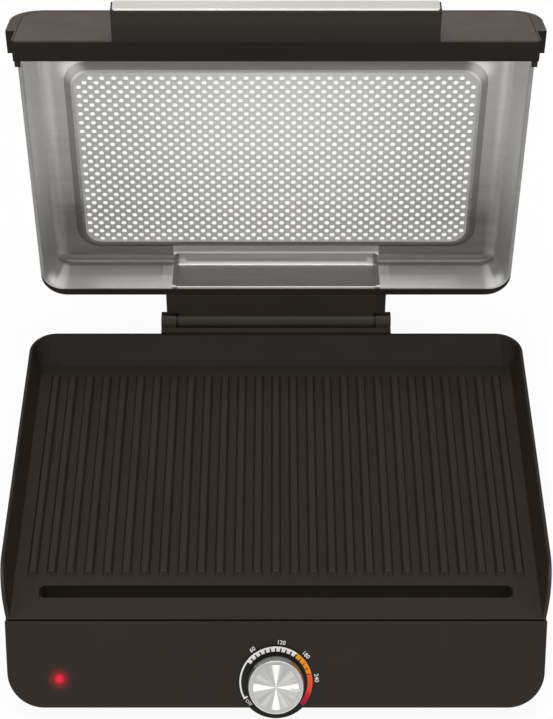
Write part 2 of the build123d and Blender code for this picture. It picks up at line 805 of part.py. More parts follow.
with BuildPart() as board_capacitors:
    with BuildSketch(Plane.XY.offset(board_top_z)):
        with Locations((board_centre_x - 6.0, board_middle_y - 12.0), (board_centre_x + 12.0, board_middle_y - 14.0)):
            Circle(5.0)
    extrude(amount=12.0)
board_capacitors.part.label = "board_capacitors"
export_step(board_capacitors.part, "parts/board_capacitors.step")

with BuildPart() as cord_gland:
    with BuildSketch(gland_plane):
        Circle(gland_radius + 3.0)
    extrude(amount=3.0)
    with BuildSketch(gland_plane):
        Circle(gland_radius)
    extrude(amount=-(housing_wall + 8.0))
    with BuildSketch(gland_plane.offset(5.0)):
        Circle(gland_bore)
    extrude(amount=-30.0, mode=Mode.SUBTRACT)
cord_gland.part.label = "cord_gland"
export_step(cord_gland.part, "parts/cord_gland.step")

with BuildPart() as gland_nut:
    with BuildSketch(gland_plane.offset(-housing_wall)):
        RegularPolygon(gland_radius + 4.0, 6)
        Circle(gland_radius + shaft_clearance, mode=Mode.SUBTRACT)
    extrude(amount=-4.0)
gland_nut.part.label = "gland_nut"
export_step(gland_nut.part, "parts/gland_nut.step")

# supply wires from the gland to the terminal block, and leads from the element to the board
lead_low_z = board_top_z + wire_radius + 0.6
supply_start_y = housing_back_y - housing_wall - 14.0
supply_end_y = board_middle_y + 24.2


def wire(points):
    """A round wire along straight runs with rounded corners."""
    with BuildPart() as run:
        with BuildLine() as path:
            Polyline(*points)
        with BuildSketch(Plane(origin=path.line @ 0, z_dir=path.line % 0)):
            Circle(wire_radius)
        sweep(transition=Transition.ROUND)
    return run.part


with BuildPart() as supply_wires:
    for side in (-1, 1):
        turn_y = supply_start_y - 8.0 + side * 1.8
        add(
            wire(
                [
                    (-gland_offset + side * 1.8, supply_start_y, gland_height),
                    (-gland_offset + side * 1.8, turn_y, gland_height),
                    (terminal_x + side * 3.5, turn_y, gland_height),
                    (terminal_x + side * 3.5, supply_end_y, gland_height),
                ]
            )
        )
supply_wires.part.label = "supply_wires"
export_step(supply_wires.part, "parts/supply_wires.step")

blade_end_z = terminal_z - 10.0
lead_edge_x = board_centre_x + board_x / 2.0 - 8.0
with BuildPart() as element_leads:
    add(
        wire(
            [
                (element_half_width, run_rows[0], blade_end_z),
                (element_half_width, run_rows[0], lead_low_z),
                (lead_edge_x, run_rows[0], lead_low_z),
            ]
        )
    )
    add(
        wire(
            [
                (element_half_width, run_rows[3], blade_end_z),
                (element_half_width, run_rows[3], lead_low_z),
                (lead_edge_x, run_rows[3], lead_low_z),
                (lead_edge_x, board_middle_y - board_y / 2.0 + 12.0, lead_low_z),
            ]
        )
    )
element_leads.part.label = "element_leads"
export_step(element_leads.part, "parts/element_leads.step")

# ================================================================ dial, knob and lamp
with BuildPart() as dial_rotary:
    with BuildSketch(dial_plane.offset(-housing_wall)):
        Circle(dial_rotary_radius)
    extrude(amount=-dial_rotary_depth)
    with BuildSketch(dial_plane.offset(-housing_wall)):
        Circle(shaft_radius + 1.5)
    extrude(amount=housing_wall + 1.4)
    with BuildSketch(dial_plane.offset(4.0)):
        Circle(shaft_radius + shaft_clearance)
    extrude(amount=-(housing_wall + dial_rotary_depth + 4.0 - 1.2), mode=Mode.SUBTRACT)
dial_rotary.part.label = "dial_rotary"
export_step(dial_rotary.part, "parts/dial_rotary.step")

with BuildPart() as rotary_nut:
    with BuildSketch(dial_plane):
        RegularPolygon(shaft_radius + 4.0, 6)
        Circle(shaft_radius + 1.5 + shaft_clearance, mode=Mode.SUBTRACT)
    extrude(amount=1.4)
rotary_nut.part.label = "rotary_nut"
export_step(rotary_nut.part, "parts/rotary_nut.step")

with BuildPart() as dial_bezel:
    with BuildSketch(dial_plane):
        Circle(dial_radius)
        Circle(shaft_radius + 5.5, mode=Mode.SUBTRACT)
    extrude(amount=dial_thickness)
    fillet(dial_bezel.edges().filter_by(GeomType.CIRCLE).sort_by(SortBy.RADIUS)[-2:].sort_by(Axis.Z)[-1], 0.6)
dial_bezel.part.label = "dial_bezel"
export_step(dial_bezel.part, "parts/dial_bezel.step")

knob_low = dial_thickness + knob_gap
knob_top = knob_low + knob_height
knob_split = knob_top - knob_cap_depth
knob_split_radius = knob_radius - (knob_radius - knob_top_radius) * (knob_split - knob_low) / knob_height
hub_radius = shaft_radius + 3.0
shaft_low = -(housing_wall + dial_rotary_depth - 1.6)
shaft_high = knob_top - knob_cap_wall - 3.0

with BuildPart() as knob_shaft:
    with BuildSketch(dial_plane.offset(shaft_low)):
        Circle(shaft_radius)
    extrude(amount=shaft_high - shaft_low)
knob_shaft.part.label = "knob_shaft"
export_step(knob_shaft.part, "parts/knob_shaft.step")

with BuildPart() as knob_cap:
    with BuildSketch(dial_plane.offset(knob_split)):
        Circle(knob_split_radius)
    with BuildSketch(dial_plane.offset(knob_top)):
        Circle(knob_top_radius)
    loft()
    fillet(knob_cap.faces().sort_by(Axis((0, 0, 0), fascia_normal))[-1].edges(), 0.9)
    with BuildSketch(dial_plane.offset(knob_split)):
        Circle(knob_split_radius - knob_cap_wall)
    with BuildSketch(dial_plane.offset(knob_top - knob_cap_wall)):
        Circle(knob_top_radius - knob_cap_wall)
    loft(mode=Mode.SUBTRACT)
    # recess for the pointer
    with BuildSketch(dial_plane.offset(knob_top)):
        with Locations(Location((0, 0, 0), (0, 0, 90.0 - pointer_angle))):
            with Locations((knob_top_radius - 6.5, 0)):
                RectangleRounded(8.0, 2.0, 0.9)
    extrude(amount=-0.3, mode=Mode.SUBTRACT)
knob_cap.part.label = "knob_cap"
export_step(knob_cap.part, "parts/knob_cap.step")

with BuildPart() as knob_body:
    with BuildSketch(dial_plane.offset(knob_low)):
        Circle(knob_radius)
    with BuildSketch(dial_plane.offset(knob_split)):
        Circle(knob_split_radius)
    loft()
    with BuildSketch(dial_plane.offset(knob_split)):
        Circle(knob_split_radius - knob_cap_wall)
    with BuildSketch(dial_plane.offset(knob_top - knob_cap_wall)):
        Circle(knob_top_radius - knob_cap_wall)
    loft()
    with BuildSketch(dial_plane.offset(knob_low)):
        Circle(knob_split_radius - 3.0)
        Circle(hub_radius, mode=Mode.SUBTRACT)
    extrude(amount=knob_height - 5.0, mode=Mode.SUBTRACT)
    with BuildSketch(dial_plane.offset(knob_low - 1.0)):
        Circle(shaft_radius)
    extrude(amount=shaft_high - knob_low + 1.0, mode=Mode.SUBTRACT)
knob_body.part.label = "knob_body"
export_step(knob_body.part, "parts/knob_body.step")

with BuildPart() as knob_pointer:
    with BuildSketch(dial_plane.offset(knob_top - 0.3)):
        with Locations(Location((0, 0, 0), (0, 0, 90.0 - pointer_angle))):
            with Locations((knob_top_radius - 6.5, 0)):
                RectangleRounded(7.9, 1.9, 0.85)
    extrude(amount=0.4)
knob_pointer.part.label = "knob_pointer"
export_step(knob_pointer.part, "parts/knob_pointer.step")

lamp_plane = Plane(
    origin=fascia_plane.from_local_coords((-lamp_offset, -lamp_drop, 0)),
    x_dir=(1, 0, 0),
    z_dir=fascia_normal,
)
with BuildPart() as lamp_lens:
    with BuildSketch(lamp_plane.offset(0.4)):
        Circle(lamp_radius)
    extrude(amount=-(housing_wall + 0.4))
    with BuildSketch(lamp_plane.offset(-housing_wall)):
        Circle(lamp_radius + 1.6)
    extrude(amount=-1.2)
lamp_lens.part.label = "lamp_lens"
export_step(lamp_lens.part, "parts/lamp_lens.step")

with BuildPart() as lamp_board:
    with BuildSketch(lamp_plane.offset(-(housing_wall + 1.2))):
        Circle(2.4)
    extrude(amount=-3.0)
    with BuildSketch(lamp_plane.offset(-(housing_wall + 4.2))):
        RectangleRounded(22.0, 12.0, 1.0)
    extrude(amount=-1.6)
lamp_board.part.label = "lamp_board"
export_step(lamp_board.part, "parts/lamp_board.step")

# ================================================================ hinge
ear_outer = ear_inner + ear_width
shut_arm_z = rim_height + lid_rim_gap + axis_h - 2.0
ledge_z = axis_z - barrel_radius - barrel_gap
stop_z = shut_arm_z - stop_gap
stop_rear_y = axis_y - barrel_radius - barrel_gap - stop_gap
pin_foot = 2.6

with BuildPart() as hinge_tower:
    with BuildSketch(Plane.XY.offset(deck_z)):
        with Locations((0, (tower_front_y + tower_back_y) / 2.0)):
            RectangleRounded(2.0 * ear_outer, tower_back_y - tower_front_y, 2.0)
    extrude(amount=ledge_z - deck_z)
    # ears
    for side in (-1, 1):
        with BuildSketch(side_plane.offset(side * (ear_inner + ear_width / 2.0))):
            with Locations((axis_y, axis_z)):
                Circle(ear_radius)
            with Locations((axis_y, (axis_z + deck_z) / 2.0)):
                Rectangle(2.0 * ear_radius, axis_z - deck_z)
        extrude(amount=ear_width / 2.0, both=True)
    # ledge the shut lid's arm comes down on
    with BuildSketch(Plane.XY.offset(deck_z)):
        with Locations((0, (tower_front_y + stop_rear_y) / 2.0)):
            Rectangle(2.0 * ear_outer, stop_rear_y - tower_front_y)
    extrude(amount=stop_z - deck_z)
    # back stop the open lid's arm leans on
    with BuildSketch(lid_side):
        with BuildLine():
            Polyline(
                (axis_d + 8.0, axis_h + barrel_radius + stop_gap),
                (axis_d + 8.0, axis_h + barrel_radius + 3.6),
                (axis_d - 14.0, axis_h + barrel_radius + 3.6),
                (axis_d - 14.0, axis_h + barrel_radius + stop_gap),
                close=True,
            )
        make_face()
    extrude(amount=ear_inner, both=True)
    # open-topped slots for the pin's flats
    with BuildSketch(side_plane):
        with Locations((axis_y, axis_z - pin_foot + 15.0)):
            Rectangle(2.0 * (pin_flat + pin_clearance), 30.0)
    extrude(amount=ear_outer + 1.0, both=True, mode=Mode.SUBTRACT)
    # hollow underside
    with BuildSketch(Plane.XY.offset(deck_z)):
        with Locations((0, (tower_front_y + tower_back_y) / 2.0)):
            Rectangle(2.0 * ear_inner - 4.0, tower_back_y - tower_front_y - 6.0)
    extrude(amount=ledge_z - deck_z - 3.0, mode=Mode.SUBTRACT)
    with BuildSketch(Plane.XY.offset(deck_z)):
        with Locations(*tower_screw_places):
            Circle(4.0)
        with Locations(*tower_screw_places):
            Circle(screw_radius, mode=Mode.SUBTRACT)
    extrude(amount=ledge_z - deck_z - 3.0)
hinge_tower.part.label = "hinge_tower"
export_step(hinge_tower.part, "parts/hinge_tower.step")

tower_screw_plane = Plane(origin=(0, 0, deck_under_z), x_dir=(-1, 0, 0), z_dir=(0, 0, -1))
with BuildPart() as tower_screws:
    add(screw_group(tower_screw_plane, [(-x, y) for x, y in tower_screw_places], housing_wall + 8.0))
tower_screws.part.label = "tower_screws"
export_step(tower_screws.part, "parts/tower_screws.step")

with BuildPart() as hinge_pin:
    with BuildSketch(side_plane):
        with Locations((axis_y, axis_z)):
            Circle(pin_radius)
    extrude(amount=ear_inner - 0.2, both=True)
    with BuildSketch(side_plane):
        with Locations((axis_y, axis_z)):
            Circle(pin_radius)
            Rectangle(2.0 * pin_flat, 2.0 * pin_foot, mode=Mode.INTERSECT)
    extrude(amount=ear_outer - 1.0, both=True)
hinge_pin.part.label = "hinge_pin"
export_step(hinge_pin.part, "parts/hinge_pin.step")

bush_outer = pin_radius + pin_clearance + bush_wall
with BuildPart() as arm_bushes:
    for side in (-1, 1):
        with BuildSketch(side_plane.offset(side * arm_neck_half)):
            with Locations((axis_y, axis_z)):
                Circle(bush_outer)
        extrude(amount=-side * bush_length)
        with BuildSketch(side_plane.offset(side * arm_neck_half)):
            with Locations((axis_y, axis_z)):
                Circle(barrel_radius)
        extrude(amount=side * (ear_inner - arm_neck_half - 0.3))
    with BuildSketch(side_plane):
        with Locations((axis_y, axis_z)):
            Circle(pin_radius + pin_clearance)
    extrude(amount=ear_inner, both=True, mode=Mode.SUBTRACT)
arm_bushes.part.label = "arm_bushes"
export_step(arm_bushes.part, "parts/arm_bushes.step")

arm_low = axis_h - 2.0
arm_bottom_d = axis_d + arm_heel
arm_high = arm_low + arm_depth
flange_low = 5.0
arm_screw_places = [(side * 119.0, h) for side in (-1, 1) for h in (flange_low + 5.0, arm_high - 5.0)]
down_plane = Plane(
    origin=lid_point(0, -arm_flange, 0), x_dir=(-1, 0, 0), z_dir=(0, -lean_sin, -lean_cos)
)

with BuildPart() as hinge_arm:
    with BuildSketch(lid_side):
        with Locations((axis_d, axis_h)):
            Circle(barrel_radius)
        with BuildLine():
            Polyline(
                (axis_d, arm_low),
                (arm_bottom_d + 1.0, arm_low),
                (arm_bottom_d + 1.0, axis_h + barrel_radius),
                (axis_d, axis_h + barrel_radius),
                close=True,
            )
        make_face()
    extrude(amount=arm_neck_half, both=True)
    with BuildSketch(lid_side):
        with BuildLine():
            Polyline(
                (arm_bottom_d, arm_low),
                (0, arm_low),
                (0, arm_high),
                (arm_bottom_d, arm_high),
                close=True,
            )
        make_face()
    extrude(amount=arm_half_width, both=True)
    with BuildSketch(lid_side):
        with BuildLine():
            Polyline((-arm_flange, flange_low), (0, flange_low), (0, arm_high), (-arm_flange, arm_high), close=True)
        make_face()
    extrude(amount=arm_flange_half, both=True)
    # lightening pockets, open at the back
    with BuildSketch(lid_plane.offset(arm_high)):
        with Locations(*[(x, (arm_bottom_d - arm_flange) / 2.0) for x in (-75.0, -25.0, 25.0, 75.0)]):
            RectangleRounded(46.0, -arm_bottom_d - arm_flange - 3.0, 2.0)
    extrude(amount=-(arm_depth - 3.0), mode=Mode.SUBTRACT)
    # bores for the bushes and the pin between them, and for the screws
    with BuildSketch(side_plane):
        with Locations((axis_y, axis_z)):
            Circle(pin_radius + 0.6)
    extrude(amount=arm_half_width, both=True, mode=Mode.SUBTRACT)
    for side in (-1, 1):
        with BuildSketch(side_plane.offset(side * (arm_neck_half + 1.0))):
            with Locations((axis_y, axis_z)):
                Circle(bush_outer)
        extrude(amount=-side * (bush_length + 1.0), mode=Mode.SUBTRACT)
    with BuildSketch(down_plane.offset(1.0)):
        with Locations(*arm_screw_places):
            Circle(screw_radius + 0.3)
    extrude(amount=-(arm_flange + 2.0), mode=Mode.SUBTRACT)
hinge_arm.part.label = "hinge_arm"
export_step(hinge_arm.part, "parts/hinge_arm.step")

with BuildPart() as arm_screws:
    add(screw_group(down_plane, arm_screw_places, arm_flange + dome_sheet + 3.4))
arm_screws.part.label = "arm_screws"
export_step(arm_screws.part, "parts/arm_screws.step")

# ================================================================ lid
cap_slope = tan(radians(cap_draft))
cap_cos = cos(radians(cap_draft))
cap_sin = sin(radians(cap_draft))


def wall_d(h, inset=0.0):
    """Where the cap's leaning front wall lies at height h, drawn in by an inset."""
    return lid_length - (h + lip_drop) * cap_slope - inset / cap_cos


lid_far = 340.0
recess = front_panel_thickness
skin = recess + cap_wall
flange_half = lid_half_width
flange_start = rear_lip - liner_sheet
flange_end = lid_length - lip_thickness - 0.3
seat_gap = 0.3
seat_corner = liner_corner + liner_sheet + seat_gap
cap_screw_places = [(x, cap_start + cap_screw_inset) for x in (-165.0, -60.0, 60.0, 165.0)]

shell_solid = lid_slab(lid_half_width, 0.0, lid_far, dome_corner, 0.0, dome_height, dome_edge)
shell_hollow = lid_slab(
    lid_half_width - dome_sheet,
    dome_sheet,
    lid_far,
    dome_corner - dome_sheet,
    -1.0,
    dome_height - dome_sheet + 1.0,
    dome_edge - dome_sheet,
)
flange_seat = lid_slab(
    flange_half + seat_gap,
    flange_start - seat_gap,
    lid_far,
    seat_corner,
    -1.0,
    1.0 + liner_sheet + seat_gap,
)
lip_blank = lid_slab(lid_half_width, 0.0, lid_far, dome_corner, 0.0, dome_sheet)
lip_hole = lid_slab(
    flange_half + seat_gap, flange_start - seat_gap, lid_far, seat_corner, -1.0, 1.0 + dome_sheet
)
vent_window = lid_slab(
    window_half_width, window_start, window_end, window_corner, dome_height - 10.0, 20.0
)

beyond_front = side_bar(
    [
        (wall_d(90.0, skin + 0.4), 90.0),
        (wall_d(-9.0, skin + 0.4), -9.0),
        (lid_far + 60.0, -9.0),
        (lid_far + 60.0, 90.0),
    ],
    300.0,
)

with BuildPart() as lid_shell:
    add(shell_solid - shell_hollow)
    # side walls end under the liner's flange; the rear lip stays flush with it
    add(flange_seat, mode=Mode.SUBTRACT)
    add(lip_blank - lip_hole)
    # front end, inside the cap and in line with its leaning wall
    add(beyond_front, mode=Mode.SUBTRACT)
    # vent window and screw bosses
    add(vent_window, mode=Mode.SUBTRACT)
    with BuildSketch(down_plane.offset(-(arm_flange + dome_sheet))):
        with Locations(*arm_screw_places):
            Circle(screw_radius + 2.4)
    extrude(amount=-3.6)
    with BuildSketch(down_plane):
        with Locations(*arm_screw_places):
            Circle(screw_radius)
    extrude(amount=-(arm_flange + dome_sheet + 10.0), mode=Mode.SUBTRACT)
    with BuildSketch(lid_plane.offset(dome_height - 8.0)):
        with Locations(*cap_screw_places):
            Circle(cap_screw_radius + 0.3)
    extrude(amount=12.0, mode=Mode.SUBTRACT)
lid_shell.part.label = "lid_shell"
export_step(lid_shell.part, "parts/lid_shell.step")

liner_start = rear_lip
floor_corner = liner_corner - 4.0
pocket_plane = Plane(
    origin=lid_point(0, boss_start, 0), x_dir=(1, 0, 0), z_dir=(0, lean_sin, lean_cos)
)


def dish_form(grow):
    """The pressed liner's hollow, grown outwards by a sheet's thickness."""
    floor_half = liner_half_width - liner_side_run + grow
    floor_start = liner_start + liner_rear_run - grow
    floor_end = liner_length - liner_front_run + grow
    rim = lid_outline(
        liner_half_width + grow, liner_start - grow, liner_length + grow, liner_corner + grow, 0.0
    )
    floor = lid_outline(
        floor_half, floor_start, floor_end, floor_corner + grow, liner_depth + grow
    )
    with BuildPart() as form:
        add(rim)
        add(floor)
        loft(ruled=True)
        fillet(form.faces().sort_by(lid_axis)[-1].edges(), liner_edge + grow)
    return form.part


def pocket_form(grow):
    """The pocket pressed into the liner's rear wall, grown outwards by a sheet's thickness."""
    with BuildPart() as form:
        with BuildSketch(pocket_plane.offset(-grow)):
            with Locations((0, (boss_near + boss_reach) / 2.0)):
                RectangleRounded(
                    2.0 * (boss_half_width + grow),
                    boss_reach - boss_near + 2.0 * grow,
                    boss_corner + grow,
                )
        extrude(amount=boss_end - boss_start + 2.0 * grow)
        fillet(form.faces().sort_by(lid_up_axis)[0].edges(), boss_floor_edge + grow)
    return form.part


def hollow_form(grow):
    """The liner's hollow with its pocket, whose mouth is rounded."""
    with BuildPart() as form:
        add(dish_form(grow))
        add(pocket_form(grow))
        mouth = form.edges(Select.NEW)
        fillet(mouth, boss_mouth_edge - grow * 0.5)
    return form.part


def plateau_form(shift):
    """The liner floor's raised field, moved away from the rim by a sheet's thickness."""
    top = lid_outline(
        panel_half_width, panel_start, panel_end, panel_corner, liner_depth - plateau_rise + shift
    )
    base = lid_outline(
        panel_half_width + plateau_slope,
        panel_start - plateau_slope,
        panel_end + plateau_slope,
        panel_corner + 4.0,
        liner_depth + shift,
    )
    with BuildPart() as form:
        add(top)
        add(base)
        loft(ruled=True)
    return form.part


panel_face_h = liner_depth - plateau_rise
opening_half = panel_half_width - panel_border
opening_start = panel_start + panel_border
opening_end = panel_end - panel_border
opening_corner = panel_corner - panel_border
liner_rim = lid_slab(
    flange_half, flange_start, flange_end, liner_corner + liner_sheet, 0.0, liner_sheet
)
liner_opening = lid_slab(opening_half, opening_start, opening_end, opening_corner, 20.0, 40.0)

with BuildPart() as lid_liner:
    add(hollow_form(liner_sheet))
    add(liner_rim)
    add(hollow_form(0.0), mode=Mode.SUBTRACT)
    add(plateau_form(0.0))
    add(plateau_form(liner_sheet), mode=Mode.SUBTRACT)
    add(liner_opening, mode=Mode.SUBTRACT)
lid_liner.part.label = "lid_liner"
export_step(lid_liner.part, "parts/lid_liner.step")

# perforated panel, flush in the raised field, with a flange behind the liner's edge
hole_places = []
for row in range(hole_rows):
    short = 2 if row in (0, hole_rows - 1) else row % 2
    count = hole_columns - short
    for column in range(count):
        hole_x = (column - (count - 1) / 2.0) * hole_pitch
        hole_places.append((hole_x, hole_row_start + row * row_pitch))

panel_blank = lid_outline(
    opening_half - shaft_clearance,
    opening_start + shaft_clearance,
    opening_end - shaft_clearance,
    opening_corner - shaft_clearance,
    panel_face_h,
).faces()[0]
hole_wires = []
for x, d in hole_places:
    ring = Plane(origin=lid_point(x, d, panel_face_h), x_dir=(1, 0, 0), z_dir=lid_plane.z_dir)
    hole_wires.append(Wire([Edge.make_circle(hole_radius, ring)]))
flange_h = panel_face_h + liner_sheet
panel_flange = lid_slab(
    panel_half_width - 0.2,
    panel_start + 0.2,
    panel_end - 0.2,
    panel_corner - 0.2,
    flange_h,
    liner_sheet,
) - lid_slab(
    opening_half - 1.5,
    opening_start + 1.2,
    opening_end - 1.2,
    opening_corner - 1.2,
    flange_h,
    liner_sheet,
)

with BuildPart() as perforated_panel:
    extrude(panel_blank.make_holes(hole_wires), amount=liner_sheet)
    add(panel_flange)
perforated_panel.part.label = "perforated_panel"
export_step(perforated_panel.part, "parts/perforated_panel.step")

frame_brim = lid_slab(
    window_half_width + 4.0,
    window_start - 3.0,
    window_end + 3.0,
    window_corner + 3.0,
    dome_height,
    1.2,
)
frame_gap = 0.3
frame_skirt = lid_slab(
    window_half_width - frame_gap,
    window_start + frame_gap,
    window_end - frame_gap,
    window_corner - frame_gap,
    liner_depth + 2.0,
    dome_height - liner_depth - 1.0,
)
frame_inset = frame_gap + window_skirt
frame_hole = lid_slab(
    window_half_width - frame_inset,
    window_start + frame_inset,
    window_end - frame_inset,
    window_corner - frame_inset,
    liner_depth,
    30.0,
)
with BuildPart() as vent_frame:
    add(frame_brim)
    add(frame_skirt)
    add(frame_hole, mode=Mode.SUBTRACT)
vent_frame.part.label = "vent_frame"
export_step(vent_frame.part, "parts/vent_frame.step")

# side clips holding the liner's rim to the shell
with BuildPart() as liner_clips:
    for side in (-1, 1):
        with BuildSketch(lid_plane.offset(-0.8)):
            with Locations((side * (lid_half_width + 0.05), 253.5)):
                Rectangle(4.9, 5.4)
        extrude(amount=0.8)
        with BuildSketch(lid_plane.offset(-0.8)):
            with Locations((side * (lid_half_width + 1.25), 253.5)):
                Rectangle(2.5, 5.4)
        extrude(amount=8.0)
liner_clips.part.label = "liner_clips"
export_step(liner_clips.part, "parts/liner_clips.step")

# ================================================================ front cap and handle
def arch_form(half_width, height, corner):
    """A bar along the lid's length with two rounded corners on its far side."""
    arch_plane = Plane(
        origin=lid_point(0, 0, 0), x_dir=(1, 0, 0), z_dir=(0, lean_sin, lean_cos)
    )
    with BuildPart() as form:
        with BuildSketch(arch_plane):
            with Locations((0, height - 100.0)):
                RectangleRounded(2.0 * half_width, 200.0, corner)
        extrude(amount=400.0)
    return form.part


cap_inner_top = dome_height + seat_gap
cap_inner_half = lid_half_width + seat_gap
cap_body = side_bar(
    [
        (cap_start, 0.0),
        (cap_start, cap_height),
        (wall_d(cap_height), cap_height),
        (wall_d(0.0), 0.0),
    ],
    cap_half_width,
) & arch_form(cap_half_width, cap_height, cap_corner)
cap_lip = side_bar(
    [
        (lid_length - lip_thickness, -lip_drop),
        (lid_length - lip_thickness, 2.0),
        (wall_d(2.0), 2.0),
        (wall_d(-lip_drop), -lip_drop),
    ],
    lip_half_width,
)
cap_hollow = side_bar(
    [
        (cap_start - 5.0, 0.0),
        (cap_start - 5.0, cap_inner_top),
        (wall_d(cap_inner_top, skin), cap_inner_top),
        (wall_d(0.0, skin), 0.0),
    ],
    cap_inner_half,
) & arch_form(cap_inner_half, cap_inner_top, dome_edge - seat_gap)
lip_hollow = side_bar(
    [
        (lid_length - lip_thickness + cap_wall, -lip_drop + cap_wall),
        (lid_length - lip_thickness + cap_wall, 3.0),
        (wall_d(3.0, skin), 3.0),
        (wall_d(-lip_drop + cap_wall, skin), -lip_drop + cap_wall),
    ],
    lip_half_width - cap_wall,
)
cap_plane = Plane(
    origin=lid_point(0, lid_length, -lip_drop),
    x_dir=(1, 0, 0),
    z_dir=(
        0,
        cap_cos * lean_sin + cap_sin * lean_cos,
        cap_cos * lean_cos - cap_sin * lean_sin,
    ),
)
slope_length = (lip_drop + cap_height) / cap_cos
panel_top = slope_length - front_panel_inset


def front_plate(half_width, top, corner, thickness):
    """A plate let into the cap's front wall, square at the lip and rounded at the far edge."""
    with BuildPart() as form:
        with BuildSketch(cap_plane):
            with Locations((0, (top - 60.0) / 2.0)):
                RectangleRounded(2.0 * half_width, top + 60.0, corner)
        extrude(amount=-thickness)
    return form.part & above_lip


above_lip = side_bar(
    [(200.0, -lip_drop), (200.0, 90.0), (340.0, 90.0), (340.0, -lip_drop)],
    300.0,
)
recess_form = front_plate(
    front_panel_half + front_panel_gap,
    panel_top + front_panel_gap,
    front_panel_corner + front_panel_gap,
    recess,
)
handle_top_h = -lip_drop + handle_thickness
handle_end = lid_length + handle_reach - strip_thickness
handle_points = [
    (wall_d(-lip_drop, recess), -lip_drop),
    (wall_d(handle_top_h, recess), handle_top_h),
    (handle_end, handle_top_h),
    (handle_end, -lip_drop),
]
handle_bar = side_bar(handle_points, handle_half_width)
handle_hollow = side_bar(
    [
        (lid_length - 20.0, -lip_drop + handle_wall),
        (lid_length - 20.0, handle_top_h - handle_wall),
        (handle_end - handle_wall, handle_top_h - handle_wall),
        (handle_end - handle_wall, -lip_drop + handle_wall),
    ],
    handle_half_width - handle_wall,
)
handle_room = side_bar(
    [
        (lid_length - 20.0, -lip_drop - 2.0),
        (lid_length - 20.0, handle_top_h + front_panel_gap),
        (lid_length + 40.0, handle_top_h + front_panel_gap),
        (lid_length + 40.0, -lip_drop - 2.0),
    ],
    handle_half_width + front_panel_gap,
)
boss_h = -lip_drop + handle_thickness / 2.0
handle_screw_xs = [-105.0, -35.0, 35.0, 105.0]
boss_slope = (boss_h + lip_drop) / cap_cos
handle_screw_places = [(x, boss_slope) for x in handle_screw_xs]
handle_screw_plane = Plane(
    origin=cap_plane.offset(-skin).origin, x_dir=(-1, 0, 0), z_dir=-cap_plane.z_dir
)

with BuildPart() as front_cap:
    add(cap_body)
    add(cap_lip)
    add(cap_hollow, mode=Mode.SUBTRACT)
    add(lip_hollow, mode=Mode.SUBTRACT)
    add(recess_form, mode=Mode.SUBTRACT)
    with BuildSketch(cap_plane):
        with Locations(*handle_screw_places):
            Circle(screw_radius + 0.3)
    extrude(amount=-(skin + 1.0), mode=Mode.SUBTRACT)
    with BuildSketch(lid_plane.offset(dome_height - 1.0)):
        with Locations(*cap_screw_places):
            Circle(cap_screw_radius)
    extrude(amount=cap_height - dome_height + 0.4, mode=Mode.SUBTRACT)
front_cap.part.label = "front_cap"
export_step(front_cap.part, "parts/front_cap.step")

with BuildPart() as front_panel:
    add(front_plate(front_panel_half, panel_top, front_panel_corner, recess))
    add(handle_room, mode=Mode.SUBTRACT)
front_panel.part.label = "front_panel"
export_step(front_panel.part, "parts/front_panel.step")

with BuildPart() as handle_body:
    add(handle_bar)
    fillet(handle_body.edges().filter_by(Axis.X).sort_by(Axis.Z)[-2:], 1.5)
    add(handle_hollow, mode=Mode.SUBTRACT)
    with BuildSketch(cap_plane.offset(-recess)):
        with Locations(*handle_screw_places):
            Circle(screw_radius + 2.4)
    extrude(amount=12.0)
    with BuildSketch(cap_plane.offset(-recess - 1.0)):
        with Locations(*handle_screw_places):
            Circle(screw_radius)
    extrude(amount=11.0, mode=Mode.SUBTRACT)
handle_body.part.label = "handle_body"
export_step(handle_body.part, "parts/handle_body.step")

strip_plane = Plane(
    origin=lid_point(0, handle_end, boss_h), x_dir=(1, 0, 0), z_dir=(0, lean_sin, lean_cos)
)
with BuildPart() as handle_strip:
    with BuildSketch(strip_plane):
        RectangleRounded(
            2.0 * (handle_half_width - strip_inset), handle_thickness - strip_inset, 2.5
        )
    extrude(amount=strip_thickness)
    fillet(handle_strip.faces().sort_by(Axis.Z)[-1].edges(), 0.5)
handle_strip.part.label = "handle_strip"
export_step(handle_strip.part, "parts/handle_strip.step")

with BuildPart() as handle_screws:
    add(screw_group(handle_screw_plane, [(-x, y) for x, y in handle_screw_places], cap_wall + 8.0))
handle_screws.part.label = "handle_screws"
export_step(handle_screws.part, "parts/handle_screws.step")

cap_screw_plane = Plane(
    origin=lid_point(0, 0, dome_height - dome_sheet),
    x_dir=(1, 0, 0),
    z_dir=(0, -lean_cos, lean_sin),
)
with BuildPart() as cap_screws:
    add(
        screw_group(
            cap_screw_plane,
            cap_screw_places,
            dome_sheet + seat_gap + 1.8,
            cap_screw_radius,
            cap_screw_head,
        )
    )
cap_screws.part.label = "cap_screws"
export_step(cap_screws.part, "parts/cap_screws.step")
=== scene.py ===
import json
import math

import bmesh
import bpy
from mathutils import Matrix, Vector


